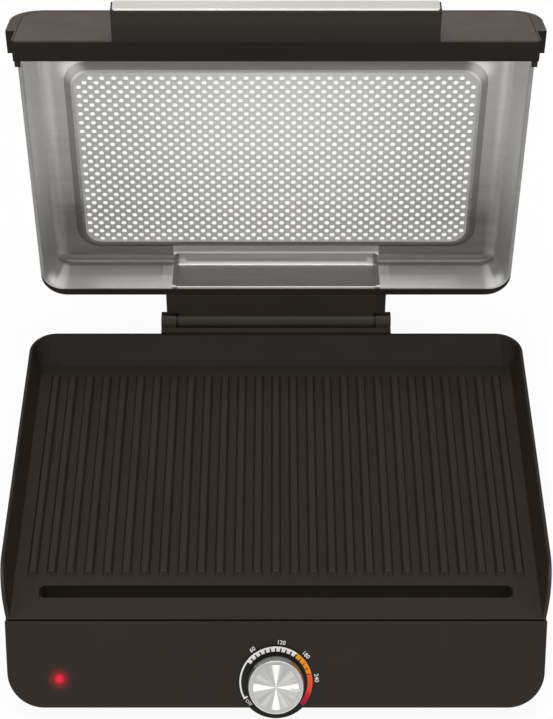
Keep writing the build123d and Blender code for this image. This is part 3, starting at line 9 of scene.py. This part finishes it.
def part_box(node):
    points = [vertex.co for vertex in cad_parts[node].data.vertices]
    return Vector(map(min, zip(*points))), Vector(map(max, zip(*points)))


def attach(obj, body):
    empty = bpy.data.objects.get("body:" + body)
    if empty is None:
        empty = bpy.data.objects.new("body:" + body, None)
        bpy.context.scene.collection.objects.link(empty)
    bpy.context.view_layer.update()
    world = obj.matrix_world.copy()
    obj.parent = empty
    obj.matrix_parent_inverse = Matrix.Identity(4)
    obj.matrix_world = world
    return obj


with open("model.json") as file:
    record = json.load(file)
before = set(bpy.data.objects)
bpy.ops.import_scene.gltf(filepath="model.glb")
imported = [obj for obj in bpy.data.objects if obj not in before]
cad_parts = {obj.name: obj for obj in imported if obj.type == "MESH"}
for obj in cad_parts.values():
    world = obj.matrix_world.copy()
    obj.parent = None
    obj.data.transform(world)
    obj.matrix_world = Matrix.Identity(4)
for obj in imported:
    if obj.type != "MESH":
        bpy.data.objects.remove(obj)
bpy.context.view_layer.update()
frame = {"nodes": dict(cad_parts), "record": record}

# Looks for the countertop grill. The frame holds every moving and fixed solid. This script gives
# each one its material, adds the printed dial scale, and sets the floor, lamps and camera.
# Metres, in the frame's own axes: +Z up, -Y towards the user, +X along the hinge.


def linked(name, data):
    """A new object with this data, linked into the scene."""
    made = bpy.data.objects.new(name, data)
    bpy.context.scene.collection.objects.link(made)
    return made


# ---------------------------------------------------------------- camera
camera_pitch = 44.235  # degrees below the level
camera_place = (0.0, -1.10109, 1.2827)
camera_lens = 91.61  # mm
sensor_width = 36.0  # mm
camera_shift = 0.0007
clip_near = 0.05
clip_far = 50.0

camera = linked("camera", bpy.data.cameras.new("camera"))
camera.data.lens = camera_lens
camera.data.sensor_width = sensor_width
camera.data.shift_x = camera_shift
camera.data.clip_start = clip_near
camera.data.clip_end = clip_far
camera.location = camera_place
camera.rotation_euler = (math.radians(90.0 - camera_pitch), 0.0, 0.0)
bpy.context.scene.camera = camera

# ---------------------------------------------------------------- the leaning front and its dial
lean = math.radians(37.3)
dial_normal = Vector((0.0, -math.cos(lean), math.sin(lean)))
dial_up = Vector((0.0, math.sin(lean), math.cos(lean)))
dial_centre = Vector((0.0, -0.200949, 0.033749))
dial_disc = 0.0016  # how far the disc behind the knob stands out of the front
lamp_centre = Vector((-0.1794, -0.199555, 0.035579))
lamp_core = 0.0048  # reach of the bright middle of the lens
lamp_halo = 0.0145  # reach of the red light on the front


# ---------------------------------------------------------------- node helpers
noise_low, noise_high = 0.3, 0.7  # where nearly all of a noise lies
number_results = ("DISTANCE", "DOT_PRODUCT", "LENGTH")  # vector sums that give a number
socket_names = {
    "colour": "Base Color", "rough": "Roughness", "metal": "Metallic", "normal": "Normal",
    "specular": "Specular IOR Level", "anisotropy": "Anisotropic", "tangent": "Tangent",
    "glow": "Emission Color", "glow_strength": "Emission Strength",
}


class Shader:
    """A material's node tree, with short calls for the nodes used here."""

    def __init__(self, name):
        self.material = bpy.data.materials.new(name)
        self.material.use_nodes = True
        self.tree = self.material.node_tree
        self.main = self.tree.nodes["Principled BSDF"]
        self.place = self.node("ShaderNodeTexCoord").outputs["Object"]

    def node(self, kind, values=(), **settings):
        made = self.tree.nodes.new(kind)
        for key, value in settings.items():
            setattr(made, key, value)
        for key, value in dict(values).items():
            if isinstance(value, bpy.types.NodeSocket):
                self.tree.links.new(value, made.inputs[key])
            else:
                made.inputs[key].default_value = value
        return made

    def set(self, **values):
        for key, value in values.items():
            socket = self.main.inputs[socket_names[key]]
            if isinstance(value, bpy.types.NodeSocket):
                self.tree.links.new(value, socket)
            elif key in ("colour", "glow"):
                socket.default_value = (*value, 1.0)
            else:
                socket.default_value = value

    def number(self, operation, *values):
        made = self.node("ShaderNodeMath", dict(enumerate(values)), operation=operation)
        return made.outputs[0]

    def vector(self, operation, *values):
        made = self.node("ShaderNodeVectorMath", dict(enumerate(values)), operation=operation)
        return made.outputs["Value" if operation in number_results else "Vector"]

    def joined(self, x, y, z=0.0):
        return self.node("ShaderNodeCombineXYZ", {"X": x, "Y": y, "Z": z}).outputs[0]

    def split(self, vector):
        return self.node("ShaderNodeSeparateXYZ", {"Vector": vector}).outputs

    def stretched(self, scale):
        return self.node("ShaderNodeMapping", {"Vector": self.place, "Scale": scale}).outputs[0]

    def noise(self, scale, detail, vector=None):
        values = {"Vector": vector or self.place, "Scale": scale, "Detail": detail}
        return self.node("ShaderNodeTexNoise", values).outputs["Fac"]

    def mapped(self, value, old, new=(0.0, 1.0), shape="LINEAR"):
        """A value carried from one range to another and held inside it."""
        values = {
            "Value": value, "From Min": old[0], "From Max": old[1],
            "To Min": new[0], "To Max": new[1],
        }
        made = self.node("ShaderNodeMapRange", values, interpolation_type=shape)
        return made.outputs["Result"]

    def spread(self, noise, low, high):
        """A noise carried to a range."""
        return self.mapped(noise, (noise_low, noise_high), (low, high))

    def eased(self, value, low, high):
        """A smooth step of a value, 0 at low and 1 at high."""
        return self.mapped(value, (low, high), shape="SMOOTHSTEP")

    def near(self, centre, reach, place=None):
        """The nearness to a point, from 1 at the point to 0 at its reach."""
        away = self.vector("DISTANCE", place or self.place, tuple(centre))
        return self.mapped(away, (0.0, reach), (1.0, 0.0), "SMOOTHERSTEP")

    def between(self, share, a, b):
        return self.node("ShaderNodeMix", {0: share, 2: a, 3: b}).outputs[0]

    def parts(self):
        """The distance from the middle plane, as the grill is alike on both sides, and Y and Z."""
        x, y, z = self.split(self.place)
        return self.number("ABSOLUTE", x), y, z

    def ramp(self, fac, stops):
        made = self.node("ShaderNodeValToRGB", {"Fac": fac})
        for i, (at, colour) in enumerate(stops):
            stop = made.color_ramp.elements[i] if i < 2 else made.color_ramp.elements.new(at)
            stop.position = at
            stop.color = (*colour, 1.0)
        return made.outputs["Color"]

    def bump(self, height, strength, distance):
        values = {"Height": height, "Strength": strength, "Distance": distance}
        return self.node("ShaderNodeBump", values).outputs["Normal"]


# ---------------------------------------------------------------- kinds of surface
cloud_noise = (9.0, 4.0)  # each noise as its scale and its detail
gloss_noise = (35.0, 3.0)
grain_detail = 2.0
streak_noise = (160.0, 4.0)
brushing_noise = (700.0, 2.0)
sheet_cloud_noise = (7.0, 2.0)
grain_strength = 0.35
brushing_strength = 0.25
brushing_relief = 0.00001
print_relief = 0.00001
tone_wander = 0.06  # how far a moulded tone strays from its place
sheet_tone_wander = 0.04
smoother, rougher = 0.04, 0.05  # how far a moulded gloss strays from its middle
sheet_rough_wander = 0.04
sheet_low, sheet_high = 0.35, 0.65  # where the mottling of a sheet begins and ends


def shade(colour, factor):
    return tuple(min(1.0, c * factor) for c in colour)


def varied(colour, variation):
    """The darker and the paler end of a colour's mottling."""
    return shade(colour, 1.0 - variation), shade(colour, 1.0 + variation)


def moulded(name, colour, rough, grain=1500.0, relief=0.00004, variation=0.10, specular=0.5,
            other=None, share_of=None):
    """Moulded plastic, rubber or a sprayed coating: faint mottling and a fine grain.

    With other, the colour goes over to that second tone by share_of, which here paints light and
    shade.
    """
    s = Shader(name)
    cloud = s.noise(*cloud_noise)
    if share_of:
        level = s.number("ADD", s.spread(cloud, -tone_wander, tone_wander), share_of(s))
        s.set(colour=s.ramp(level, [(0.0, colour), (1.0, other)]))
    else:
        dark, pale = varied(colour, variation)
        s.set(colour=s.ramp(cloud, [(noise_low, dark), (noise_high, pale)]))
    s.set(rough=s.spread(s.noise(*gloss_noise), rough - smoother, rough + rougher))
    s.set(normal=s.bump(s.noise(grain, grain_detail), grain_strength, relief), specular=specular)
    return s


def brushed(name, rough, streaks):
    """Sheet or bar with long faint streaks in its gloss: its shader, and the streaks."""
    s = Shader(name)
    lengthwise = s.stretched(streaks)
    streak = s.noise(*streak_noise, lengthwise)
    s.set(rough=s.spread(streak, rough - sheet_rough_wander, rough + sheet_rough_wander))
    brushing = s.noise(*brushing_noise, lengthwise)
    s.set(normal=s.bump(brushing, brushing_strength, brushing_relief))
    return s, streak


def metal(name, colour, rough, streaks=(1.0, 1.0, 1.0), variation=0.06, share=1.0):
    """Rolled or drawn metal in one colour. share is how much of it is bare metal."""
    s, streak = brushed(name, rough, streaks)
    both = s.number("ADD", streak, s.noise(*sheet_cloud_noise))
    dark, pale = varied(colour, variation)
    mottling = s.number("MULTIPLY", both, 0.5)
    s.set(colour=s.ramp(mottling, [(sheet_low, dark), (sheet_high, pale)]), metal=share)
    return s


def graded(name, dark, pale, share_of, rough, streaks, share, bare_of=None):
    """Sheet metal whose tone goes from dark to pale with its place, which here paints light and
    shade.
    """
    s, streak = brushed(name, rough, streaks)
    level = s.number("ADD", s.spread(streak, -sheet_tone_wander, sheet_tone_wander), share_of(s))
    s.set(colour=s.ramp(level, [(0.0, dark), (1.0, pale)]))
    s.set(metal=bare_of(s, level, share) if bare_of else share)
    return s


# ---------------------------------------------------------------- looks of single pieces
body_colour = (0.0200, 0.0142, 0.0108)
body_specular = 0.2


def circuit_look():
    """Coated board laminate with faint tracks under the lacquer."""
    s = Shader("circuit_laminate")
    values = {"Vector": s.place, "Scale": 260.0}
    cells = s.node("ShaderNodeTexVoronoi", values, distance="CHEBYCHEV").outputs["Distance"]
    s.set(colour=s.ramp(cells, [(0.25, (0.015, 0.10, 0.045)), (0.45, (0.02, 0.15, 0.07))]))
    s.set(rough=0.35, normal=s.bump(cells, 0.2, 0.00004))
    return s


def lamp_look():
    """The lit indicator lens: a bright core inside a red moulding."""
    s = Shader("lit_red_lens")
    core = s.near(lamp_centre, lamp_core)
    s.set(colour=s.ramp(core, [(0.0, (0.20, 0.004, 0.01)), (1.0, (0.30, 0.01, 0.02))]))
    s.set(glow=s.ramp(core, [
        (0.0, (0.30, 0.002, 0.012)), (0.5, (0.42, 0.005, 0.026)), (1.0, (0.46, 0.012, 0.045))]))
    s.set(glow_strength=1.0, rough=0.3, specular=0.2)
    return s


def housing_look():
    """Body plastic whose front takes the indicator's red light round its lens."""
    s = moulded("housing_plastic", body_colour, 0.5, specular=body_specular)
    s.set(glow=s.ramp(s.near(lamp_centre, lamp_halo), [
        (0.0, (0.0, 0.0, 0.0)), (0.25, (0.024, 0.0, 0.0)),
        (0.5, (0.085, 0.0, 0.001)), (0.82, (0.19, 0.0, 0.003))]))
    s.set(glow_strength=1.0)
    return s


# The knob's four rays and its rim's pale lines are painted highlights on a spun face.
painted_ray_count = 4.0
knob_face_edge = (0.0190, 0.0186)  # from the rim's step in to the face
knob_rim = (0.0186, 0.0238)
painted_ray_edge = (0.55, 0.95)
ring_relief = 0.04  # the rings' height as a share of the rim's step
rim_step = 0.0003


def spun_painted_highlights_look():
    """The knob's turned face: four painted highlight rays over fine rings, inside a plainer
    stepped rim with painted highlight lines.
    """
    s = Shader("spun_metal_painted_highlights")
    arm = s.vector("SUBTRACT", s.place, tuple(dial_centre))
    across = s.vector("DOT_PRODUCT", arm, (1.0, 0.0, 0.0))
    up = s.vector("DOT_PRODUCT", arm, tuple(dial_up))
    angle = s.number("ARCTAN2", up, across)
    radius = s.vector("LENGTH", s.joined(across, up))
    wave = s.number("COSINE", s.number("MULTIPLY", angle, painted_ray_count))
    wobble = s.noise(2.2, 2.0, s.joined(angle, 0.0))
    # painted highlight rays, with fainter ones from the wobble between them
    painted_rays = s.number("MAXIMUM", s.spread(wobble, 0.0, 0.3), s.eased(wave, *painted_ray_edge))
    inside = s.eased(radius, *knob_face_edge)
    rings = s.noise(2600.0, 2.0, s.joined(radius, 0.0))
    face = s.ramp(painted_rays, [
        (0.0, (0.34, 0.34, 0.335)), (0.3, (0.60, 0.60, 0.595)), (1.0, (0.93, 0.93, 0.92))])
    # the rim's pale rings are painted highlight lines along its step
    rim = s.ramp(s.mapped(radius, knob_rim), [
        (0.0, (0.75, 0.75, 0.74)), (0.08, (0.42, 0.42, 0.41)), (0.60, (0.45, 0.45, 0.44)),
        (0.68, (0.80, 0.80, 0.78)), (0.76, (0.55, 0.55, 0.54)), (0.82, (0.36, 0.37, 0.35)),
        (1.0, (0.32, 0.33, 0.31))])
    both = s.node("ShaderNodeMix", {0: inside, 6: rim, 7: face}, data_type="RGBA").outputs[2]
    s.set(colour=both, rough=s.spread(rings, 0.28, 0.38), metal=0.85, anisotropy=0.4)
    s.set(tangent=s.vector("CROSS_PRODUCT", tuple(dial_normal), arm))
    s.set(normal=s.bump(s.number("MULTIPLY_ADD", rings, ring_relief, inside), 0.6, rim_step))
    return s


heat_start = 54.0  # degrees from the right, anticlockwise
heat_end = -44.0


def heat_look():
    """The scale's hot end, from amber to red to a dark crimson as the knob turns on."""
    s = Shader("printed_heat")
    parts = s.split(s.place)
    angle = s.number("ARCTAN2", parts["Y"], parts["X"])
    share = s.mapped(angle, (math.radians(heat_start), math.radians(heat_end)))
    s.set(colour=s.ramp(share, [
        (0.0, (0.78, 0.36, 0.02)), (0.40, (0.86, 0.24, 0.01)), (0.44, (0.84, 0.11, 0.02)),
        (0.68, (0.80, 0.06, 0.03)), (0.80, (0.56, 0.010, 0.035)), (1.0, (0.30, 0.010, 0.035))]))
    s.set(rough=0.5, normal=s.bump(s.noise(1500.0, 2.0), 0.2, print_relief), specular=0.2)
    return s


painted_top_light_step = (0.12, 0.45)  # of the surface direction's Z
handle_low_edge = 0.008
handle_high_edge = 0.006
plate_shade_depth = (0.100, 0.142)
panel_highlight_centre = (0.0, 0.19, 0.27)
panel_highlight_reach = 0.22


def painted_top_light(s):
    """1 where the surface faces up in the rest pose, 0 where it faces forward; the paler tone it
    gives the cap there is painted light from above.
    """
    facing = s.node("ShaderNodeTexCoord").outputs["Normal"]
    return s.eased(s.split(facing)["Z"], *painted_top_light_step)


def handle_painted_shade(s):
    """0 at the handle's lower edge, 1 near its top; the handle's darker tone low down is painted
    shade.
    """
    low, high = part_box("handle_body")
    return s.eased(s.parts()[2], low[2] + handle_low_edge, high[2] - handle_high_edge)


def plate_painted_shade(s):
    """0 over the plate's front and ribs, 1 at its back wall; the darker tone at the back is
    painted shade under the lid.
    """
    return s.eased(s.parts()[1], *plate_shade_depth)


def panel_painted_highlight(s):
    """1 at the middle of the perforated panel, 0 towards its ends; the paler middle is a painted
    highlight.
    """
    return s.near(panel_highlight_centre, panel_highlight_reach)


# ---------------------------------------------------------------- the liner's painted light and shade
# Where the liner's painted shade and painted highlights lie in the rest pose, each as the start
# and the end of a soft step:
# side is the distance from the middle plane, depth is Y, which grows into the pan, and rise is Z.
pan_rise = (0.155, 0.250)
wall_rise = (0.160, 0.320)
wall_side = (0.193, 0.200)
top_rise = (0.354, 0.366)
top_side = (0.178, 0.166)
rear_depth = (0.168, 0.198)
rear_side = (0.1065, 0.1055)
rear_rise = (0.1475, 0.1455)
fold_depth = (0.193, 0.198)
fold_rise = (0.154, 0.150)
rear_rim_depth = (0.1662, 0.1650)
rear_rim_side = (0.206, 0.200)
pocket_side = (0.0975, 0.0955)
pocket_end_side = (0.0900, 0.0930)
pocket_floor_rise = (0.1405, 0.1412)
pocket_edge_depth = (0.2025, 0.2035)
pocket_edge_rise = (0.1416, 0.1410)
pocket_lip_rise = (0.1503, 0.1511)
pocket_lip_end = (0.1538, 0.1550)
pan_start_rise = (0.160, 0.165)
front_lip_depth = (0.1690, 0.1680)
front_lip_end = (0.1655, 0.1662)
outer_rim_side = (0.2130, 0.2142)
bare_side = (0.192, 0.199)
# The pressed corners with a painted highlight: each one's place and reach.
painted_highlight_corners = [
    ((0.0885, 0.2045, 0.1420), 0.007),
    ((0.1775, 0.2076, 0.3571), 0.018),
    ((0.2085, 0.1690, 0.1460), 0.014),
]
painted_highlight = 1.0


def layered(s, tone, layers):
    """Lays tones over a tone. Each layer is how much it covers and its own tone."""
    for cover, over in layers:
        tone = s.between(cover, tone, over)
    return tone


def liner_painted_light_and_shade(s):
    """Painted light and shade: darker by the hinge, paler up the walls, with painted highlights
    along the pressed edges.
    """
    side, depth, rise = s.parts()

    def overlap(value, step, other_value, other_step):
        return s.number("MULTIPLY", s.eased(value, *step), s.eased(other_value, *other_step))

    # Painted shade: the pan and the walls darker low down, towards the hinge.
    pan = s.between(s.eased(rise, *pan_rise), 0.05, 0.41)
    wall = s.between(s.eased(rise, *wall_rise), 0.20, 0.76)
    # The rear wall: painted shade, darker into the pan, and paler across the middle round the
    # pocket as painted light.
    rear = layered(s, s.between(s.eased(depth, *rear_depth), 0.86, 0.56), [
        (s.eased(side, *rear_side), 0.86),
    ])
    tone = layered(s, pan, [
        (s.eased(side, *wall_side), wall),
        # a painted shadow of the front cap across the top of the pan
        (overlap(rise, top_rise, side, top_side), 0.28),
        (s.eased(rise, *rear_rise), rear),
        # painted shade, dark in the fold
        (overlap(depth, fold_depth, rise, fold_rise), 0.0),
        # painted light, paler along the rim
        (overlap(depth, rear_rim_depth, side, rear_rim_side), 0.85),
    ])
    # The pocket: painted shade on its floor and at its ends, painted highlights along its edges
    # and lip.
    pocket = layered(s, s.between(s.eased(rise, *pocket_floor_rise), 0.14, 0.66), [
        (overlap(depth, pocket_edge_depth, rise, pocket_edge_rise), painted_highlight),
        (s.eased(side, *pocket_end_side), 0.12),
        (s.eased(rise, *pocket_lip_rise), painted_highlight),
        (s.eased(rise, *pocket_lip_end), 0.60),
        (s.eased(rise, *pan_start_rise), tone),
        (overlap(depth, front_lip_depth, depth, front_lip_end), painted_highlight),
    ])
    mirrored = s.joined(side, depth, rise)
    return layered(s, tone, [
        (s.eased(side, *pocket_side), pocket),
        # darker along the rim's outer edge
        (s.eased(side, *outer_rim_side), 0.22),
        *((s.near(place, reach, mirrored), painted_highlight) for place, reach in painted_highlight_corners),
    ])


def liner_bare(s, level, share):
    """Less of a mirror in the dark folds, on the side walls and along the painted highlight lines,
    so that these show pale.
    """
    grey = [(0.0, 0.4), (0.16, share), (0.88, share), (0.97, 0.2)]
    bare = s.ramp(level, [(at, (value, value, value)) for at, value in grey])
    return s.between(s.eased(s.parts()[0], *bare_side), bare, 0.3)


# ---------------------------------------------------------------- materials
coating = {"grain": 2200.0, "relief": 0.00003}
printing = {"grain": 1800.0, "relief": print_relief, "variation": 0.03}
along_sheet = (0.05, 1.0, 1.0)  # streaks drawn out along X
along_bar = (0.03, 1.0, 1.0)
mark_look = "white_mark"

looks = {
    # moulded plastics, rubber and coatings
    "dark_plastic": moulded("body_plastic", body_colour, 0.5, specular=body_specular),
    "coated_cast": moulded(
        "tray_coating", (0.080, 0.066, 0.052), 0.46, specular=0.28, **coating),
    # A paler copy of the body plastic: painted light, as on the cap's up-facing front.
    "front_plastic": moulded("lid_front_plastic_painted_light", (0.066, 0.0515, 0.0440), 0.45, specular=0.24),
    "black_plastic": moulded("black_plastic", (0.009, 0.0085, 0.008), 0.5, specular=0.22),
    "grey_plastic": moulded("grey_plastic", (0.27, 0.27, 0.28), 0.5),
    "feet_rubber": moulded(
        "feet_rubber", (0.018, 0.018, 0.018), 0.75, grain=900.0, relief=0.0001),
    "wire_sleeve": moulded(
        "wire_sleeve", (0.16, 0.05, 0.03), 0.55, grain=1200.0, relief=0.00005),
    mark_look: moulded("printed_white", (0.82, 0.81, 0.79), 0.5, **printing),
    # The pointer's pale teal is a painted reflection on the pointer.
    "pointer": moulded("pointer_painted_reflection", (0.60, 0.66, 0.65), 0.4, **printing),
    "hinge_plastic": moulded("hinge_plastic", (0.0290, 0.0232, 0.0172), 0.5, specular=0.2),
    # The cap goes paler where it faces up: painted light from above on one dark plastic.
    "cap": moulded(
        "cap_plastic_painted_top_light", (0.0104, 0.0074, 0.0048), 0.48, specular=0.14,
        other=(0.068, 0.0520, 0.0440), share_of=painted_top_light),
    # The handle goes darker towards its lower edge: painted shade.
    "handle_plastic": moulded(
        "handle_plastic", (0.0100, 0.0070, 0.0040), 0.42, specular=0.26,
        other=(0.0205, 0.0152, 0.0095), share_of=handle_painted_shade),
    # The plate goes darker at its back wall: painted shade under the lid.
    "plate": moulded(
        "plate_coating", (0.0230, 0.0172, 0.0130), 0.46, specular=0.25,
        other=(0.0105, 0.0078, 0.0052), share_of=plate_painted_shade, **coating),
    # metals
    "bright_steel": metal("bright_steel", (0.80, 0.785, 0.75), 0.3, along_bar, share=0.7),
    "plated_sheet": metal("plated_sheet", (0.66, 0.67, 0.68), 0.3),
    "screw_steel": metal("screw_steel", (0.5, 0.5, 0.51), 0.33),
    "spring_steel": metal("spring_steel", (0.45, 0.45, 0.47), 0.3),
    "heater_tube": metal("heater_tube", (0.16, 0.15, 0.15), 0.5, variation=0.2),
    "brass_blade": metal("brass_blade", (0.72, 0.55, 0.28), 0.3),
    "strip_steel": metal("strip_steel", (0.83, 0.815, 0.78), 0.3, along_bar, share=0.6),
    # The liner's tones are painted light and shade, with painted highlights along its pressed
    # edges.
    "liner_steel": graded(
        "liner_steel", (0.14, 0.138, 0.133), (0.95, 0.94, 0.92),
        liner_painted_light_and_shade, 0.38, along_sheet, 0.8, liner_bare),
    # The panel is paler in its middle: a painted highlight.
    "panel_steel": graded(
        "panel_steel", (0.60, 0.595, 0.58), (0.95, 0.945, 0.93),
        panel_painted_highlight, 0.4, along_sheet, 0.5),
    # pieces with a look of their own
    "green_board": circuit_look(),
    "red_lens": lamp_look(),
    "housing": housing_look(),
    "spun": spun_painted_highlights_look(),
    "heat": heat_look(),
}

# Nodes whose look isn't that of their slot in the record.
own_look = {
    "handle_body": "handle_plastic",
    "base_housing": "housing",
    "knob_cap": "spun",
    "knob_pointer": "pointer",
    "front_cap": "cap",
    "arm_bushes": "black_plastic",
    "grease_tray": "coated_cast",
    "lid_liner": "liner_steel",
    "grill_plate": "plate",
    "perforated_panel": "panel_steel",
    "handle_strip": "strip_steel",
    "hinge_tower": "hinge_plastic",
    "hinge_arm": "hinge_plastic",
}
for part in frame["record"]["subparts"]:
    node = part["node"]
    mesh = frame["nodes"][node].data
    mesh.materials.clear()
    mesh.materials.append(looks[own_look.get(node, part["material_slot"])].material)

# ---------------------------------------------------------------- printed dial scale
print_thickness = 0.00006
band_inner = 0.0261
band_middle = 0.0289
band_outer = 0.0303
band_step = 2.0  # degrees between a band's corners
least_tooth = 0.1  # degrees: a shorter last tooth is left out
cool_teeth = (54.5, 145.0)
cool_end = 209.0
stop_start = 206.0
stop_inner = 0.0266
hot_teeth = (14.0, 53.5)
hot_full = (-42.0, 13.2)


def on_dial(height):
    """The matrix of a plane a height above the leaning front, its Y up the front."""
    turn = Matrix((Vector((1.0, 0.0, 0.0)), dial_up, dial_normal)).transposed().to_4x4()
    return Matrix.Translation(dial_centre + dial_normal * height) @ turn


def print_piece(name, bm, height, look):
    """Makes a mesh piece of a flat print and lays it on the front."""
    data = bpy.data.meshes.new(name)
    bm.to_mesh(data)
    bm.free()
    piece = linked(name, data)
    piece.matrix_world = on_dial(height)
    data.materials.append(looks[look].material)
    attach(piece, "base")


def add_band(bm, inner, outer, start, end):
    """Adds a closed ring sector, angles in degrees from the right, anticlockwise."""
    count = max(1, round(abs(end - start) / band_step))
    rows = []
    for i in range(count + 1):
        a = math.radians(start + (end - start) * i / count)
        ring = [
            (r * math.cos(a), r * math.sin(a), z)
            for r in (inner, outer) for z in (0.0, print_thickness)]
        rows.append([bm.verts.new(p) for p in ring])
    for a, b in zip(rows, rows[1:]):
        bm.faces.new((a[1], a[3], b[3], b[1]))
        bm.faces.new((a[0], b[0], b[2], a[2]))
        bm.faces.new((a[0], a[1], b[1], b[0]))
        bm.faces.new((a[2], b[2], b[3], a[3]))
    for row in (rows[0], rows[-1]):
        bm.faces.new((row[0], row[2], row[3], row[1]))


def add_toothed_band(bm, start, end, pitch, gap):
    """Adds a scale band with notches cut in its inner side at an even pitch."""
    add_band(bm, band_middle, band_outer, start, end)
    at = start
    while at < end - least_tooth:
        add_band(bm, band_inner, band_middle, at + gap / 2.0, min(end, at + pitch) - gap / 2.0)
        at += pitch


# The cool band has teeth, then runs on thin to a stop mark.
cool = bmesh.new()
add_toothed_band(cool, *cool_teeth, pitch=9.05, gap=2.6)
add_band(cool, band_middle, band_outer, cool_teeth[1], cool_end)
add_band(cool, stop_inner, band_middle, stop_start, cool_end)
bmesh.ops.recalc_face_normals(cool, faces=cool.faces)
print_piece("scale_cool_band", cool, dial_disc, mark_look)

# The hot band has teeth, then runs on at its full width.
hot = bmesh.new()
add_toothed_band(hot, *hot_teeth, pitch=9.875, gap=1.6)
add_band(hot, band_inner, band_outer, *hot_full)
bmesh.ops.recalc_face_normals(hot, faces=hot.faces)
print_piece("scale_hot_band", hot, dial_disc, "heat")

stroke_gain = 0.008  # how much the letters' outline grows, as a share of their size
letter_weld = 0.000002
letter_curve_steps = 4
number_size = 0.0049
word_size = 0.0037


def lettering(name, text, radius, angle, size, turn, height):
    """A generic number or word laid on the front, centred at a radius and an angle."""
    curve = bpy.data.curves.new(name, "FONT")
    curve.body = text
    curve.size = size
    curve.align_x = "CENTER"
    curve.align_y = "CENTER"
    curve.extrude = print_thickness / 2.0
    curve.offset = size * stroke_gain
    curve.resolution_u = letter_curve_steps
    made = linked(name, curve)
    bpy.context.view_layer.update()
    data = bpy.data.meshes.new_from_object(made)
    bpy.data.objects.remove(made)
    a = math.radians(angle)
    place = Matrix.Translation((radius * math.cos(a), radius * math.sin(a), print_thickness / 2.0))
    data.transform(place @ Matrix.Rotation(math.radians(turn), 4, "Z"))
    bm = bmesh.new()
    bm.from_mesh(data)
    bmesh.ops.remove_doubles(bm, verts=bm.verts, dist=letter_weld)
    print_piece(name, bm, height, mark_look)


# The numbers lie on the front outside the disc, and the word lies on the disc.
lettering("scale_60", "60", 0.0334, 125.5, number_size, 35.5, 0.0)
lettering("scale_120", "120", 0.0334, 82.5, number_size, -7.5, 0.0)
lettering("scale_180", "180", 0.0336, 42.5, number_size, -47.5, 0.0)
lettering("scale_240", "240", 0.0336, 5.5, number_size, -84.5, 0.0)
lettering("scale_off", "OFF", 0.0286, 217.5, word_size, -50.0, dial_disc)

# ---------------------------------------------------------------- floor, world and lamps
floor_half_width = 12.0
floor_drop = 0.0003  # keeps the floor clear of the feet's faces
floor_tones = [(0.0, (0.88, 0.88, 0.88)), (1.0, (0.90, 0.90, 0.90))]
floor_white_share = 0.93  # the rest shows the lit floor and its shadow
white = (1.0, 1.0, 1.0, 1.0)
room_colour = (1.0, 0.99, 0.975, 1.0)
room_strength = 0.5
backdrop_colour = (0.975, 0.975, 0.975, 1.0)
lamp_colour = (1.0, 0.99, 0.97)


def floor_look():
    """Pale floor: white where the camera and gloss see it, keeping a soft shadow."""
    s = Shader("floor_white")
    s.set(colour=s.ramp(s.noise(2.0, 2.0), floor_tones), rough=0.9)
    seen = s.node("ShaderNodeLightPath").outputs
    eye = s.number("MAXIMUM", seen["Is Camera Ray"], seen["Is Glossy Ray"])
    eye = s.number("MAXIMUM", eye, seen["Is Transmission Ray"])
    share = s.number("MULTIPLY", eye, floor_white_share)
    glow = s.node("ShaderNodeEmission", {"Color": white, "Strength": 1.0}).outputs[0]
    mixed = s.node("ShaderNodeMixShader", {0: share, 1: s.main.outputs[0], 2: glow}).outputs[0]
    s.tree.links.new(mixed, s.tree.nodes["Material Output"].inputs["Surface"])
    return s


floor_mesh = bmesh.new()
bmesh.ops.create_grid(floor_mesh, x_segments=2, y_segments=2, size=floor_half_width)
floor_data = bpy.data.meshes.new("floor")
floor_mesh.to_mesh(floor_data)
floor_mesh.free()
floor = linked("floor", floor_data)
floor.location = (0.0, 0.0, -floor_drop)
floor_data.materials.append(floor_look().material)

# The world lights the object plainly, and the camera sees it as the floor's white.
world = bpy.data.worlds.new("studio")
bpy.context.scene.world = world
world.use_nodes = True
tree = world.node_tree
room = tree.nodes["Background"]
room.inputs["Color"].default_value = room_colour
room.inputs["Strength"].default_value = room_strength
backdrop = tree.nodes.new("ShaderNodeBackground")
backdrop.inputs["Color"].default_value = backdrop_colour
backdrop.inputs["Strength"].default_value = 1.0
path = tree.nodes.new("ShaderNodeLightPath")
either = tree.nodes.new("ShaderNodeMixShader")
tree.links.new(path.outputs["Is Camera Ray"], either.inputs[0])
tree.links.new(room.outputs[0], either.inputs[1])
tree.links.new(backdrop.outputs[0], either.inputs[2])
tree.links.new(either.outputs[0], tree.nodes["World Output"].inputs["Surface"])


def softbox(name, place, target, width, height, power):
    """A rectangular lamp at a place, facing a target. Power is in watts."""
    lamp = bpy.data.lights.new(name, "AREA")
    lamp.shape = "RECTANGLE"
    lamp.size = width
    lamp.size_y = height
    lamp.energy = power
    lamp.color = lamp_colour
    made = linked(name, lamp)
    made.location = place
    made.rotation_euler = (Vector(target) - Vector(place)).to_track_quat("-Z", "Y").to_euler()


grill_middle = (0.0, 0.1, 0.2)
softbox("lamp_above", (0.0, -0.3, 2.6), (0.0, 0.05, 0.1), 2.0, 1.2, 34.0)
softbox("lamp_front", (0.0, -2.8, 0.5), grill_middle, 1.2, 0.8, 7.0)
softbox("lamp_left", (-2.2, -0.4, 1.3), grill_middle, 1.0, 1.4, 9.0)
softbox("lamp_right", (2.2, -0.4, 1.3), grill_middle, 1.0, 1.4, 7.0)

bpy.context.scene.view_settings.view_transform = "Standard"
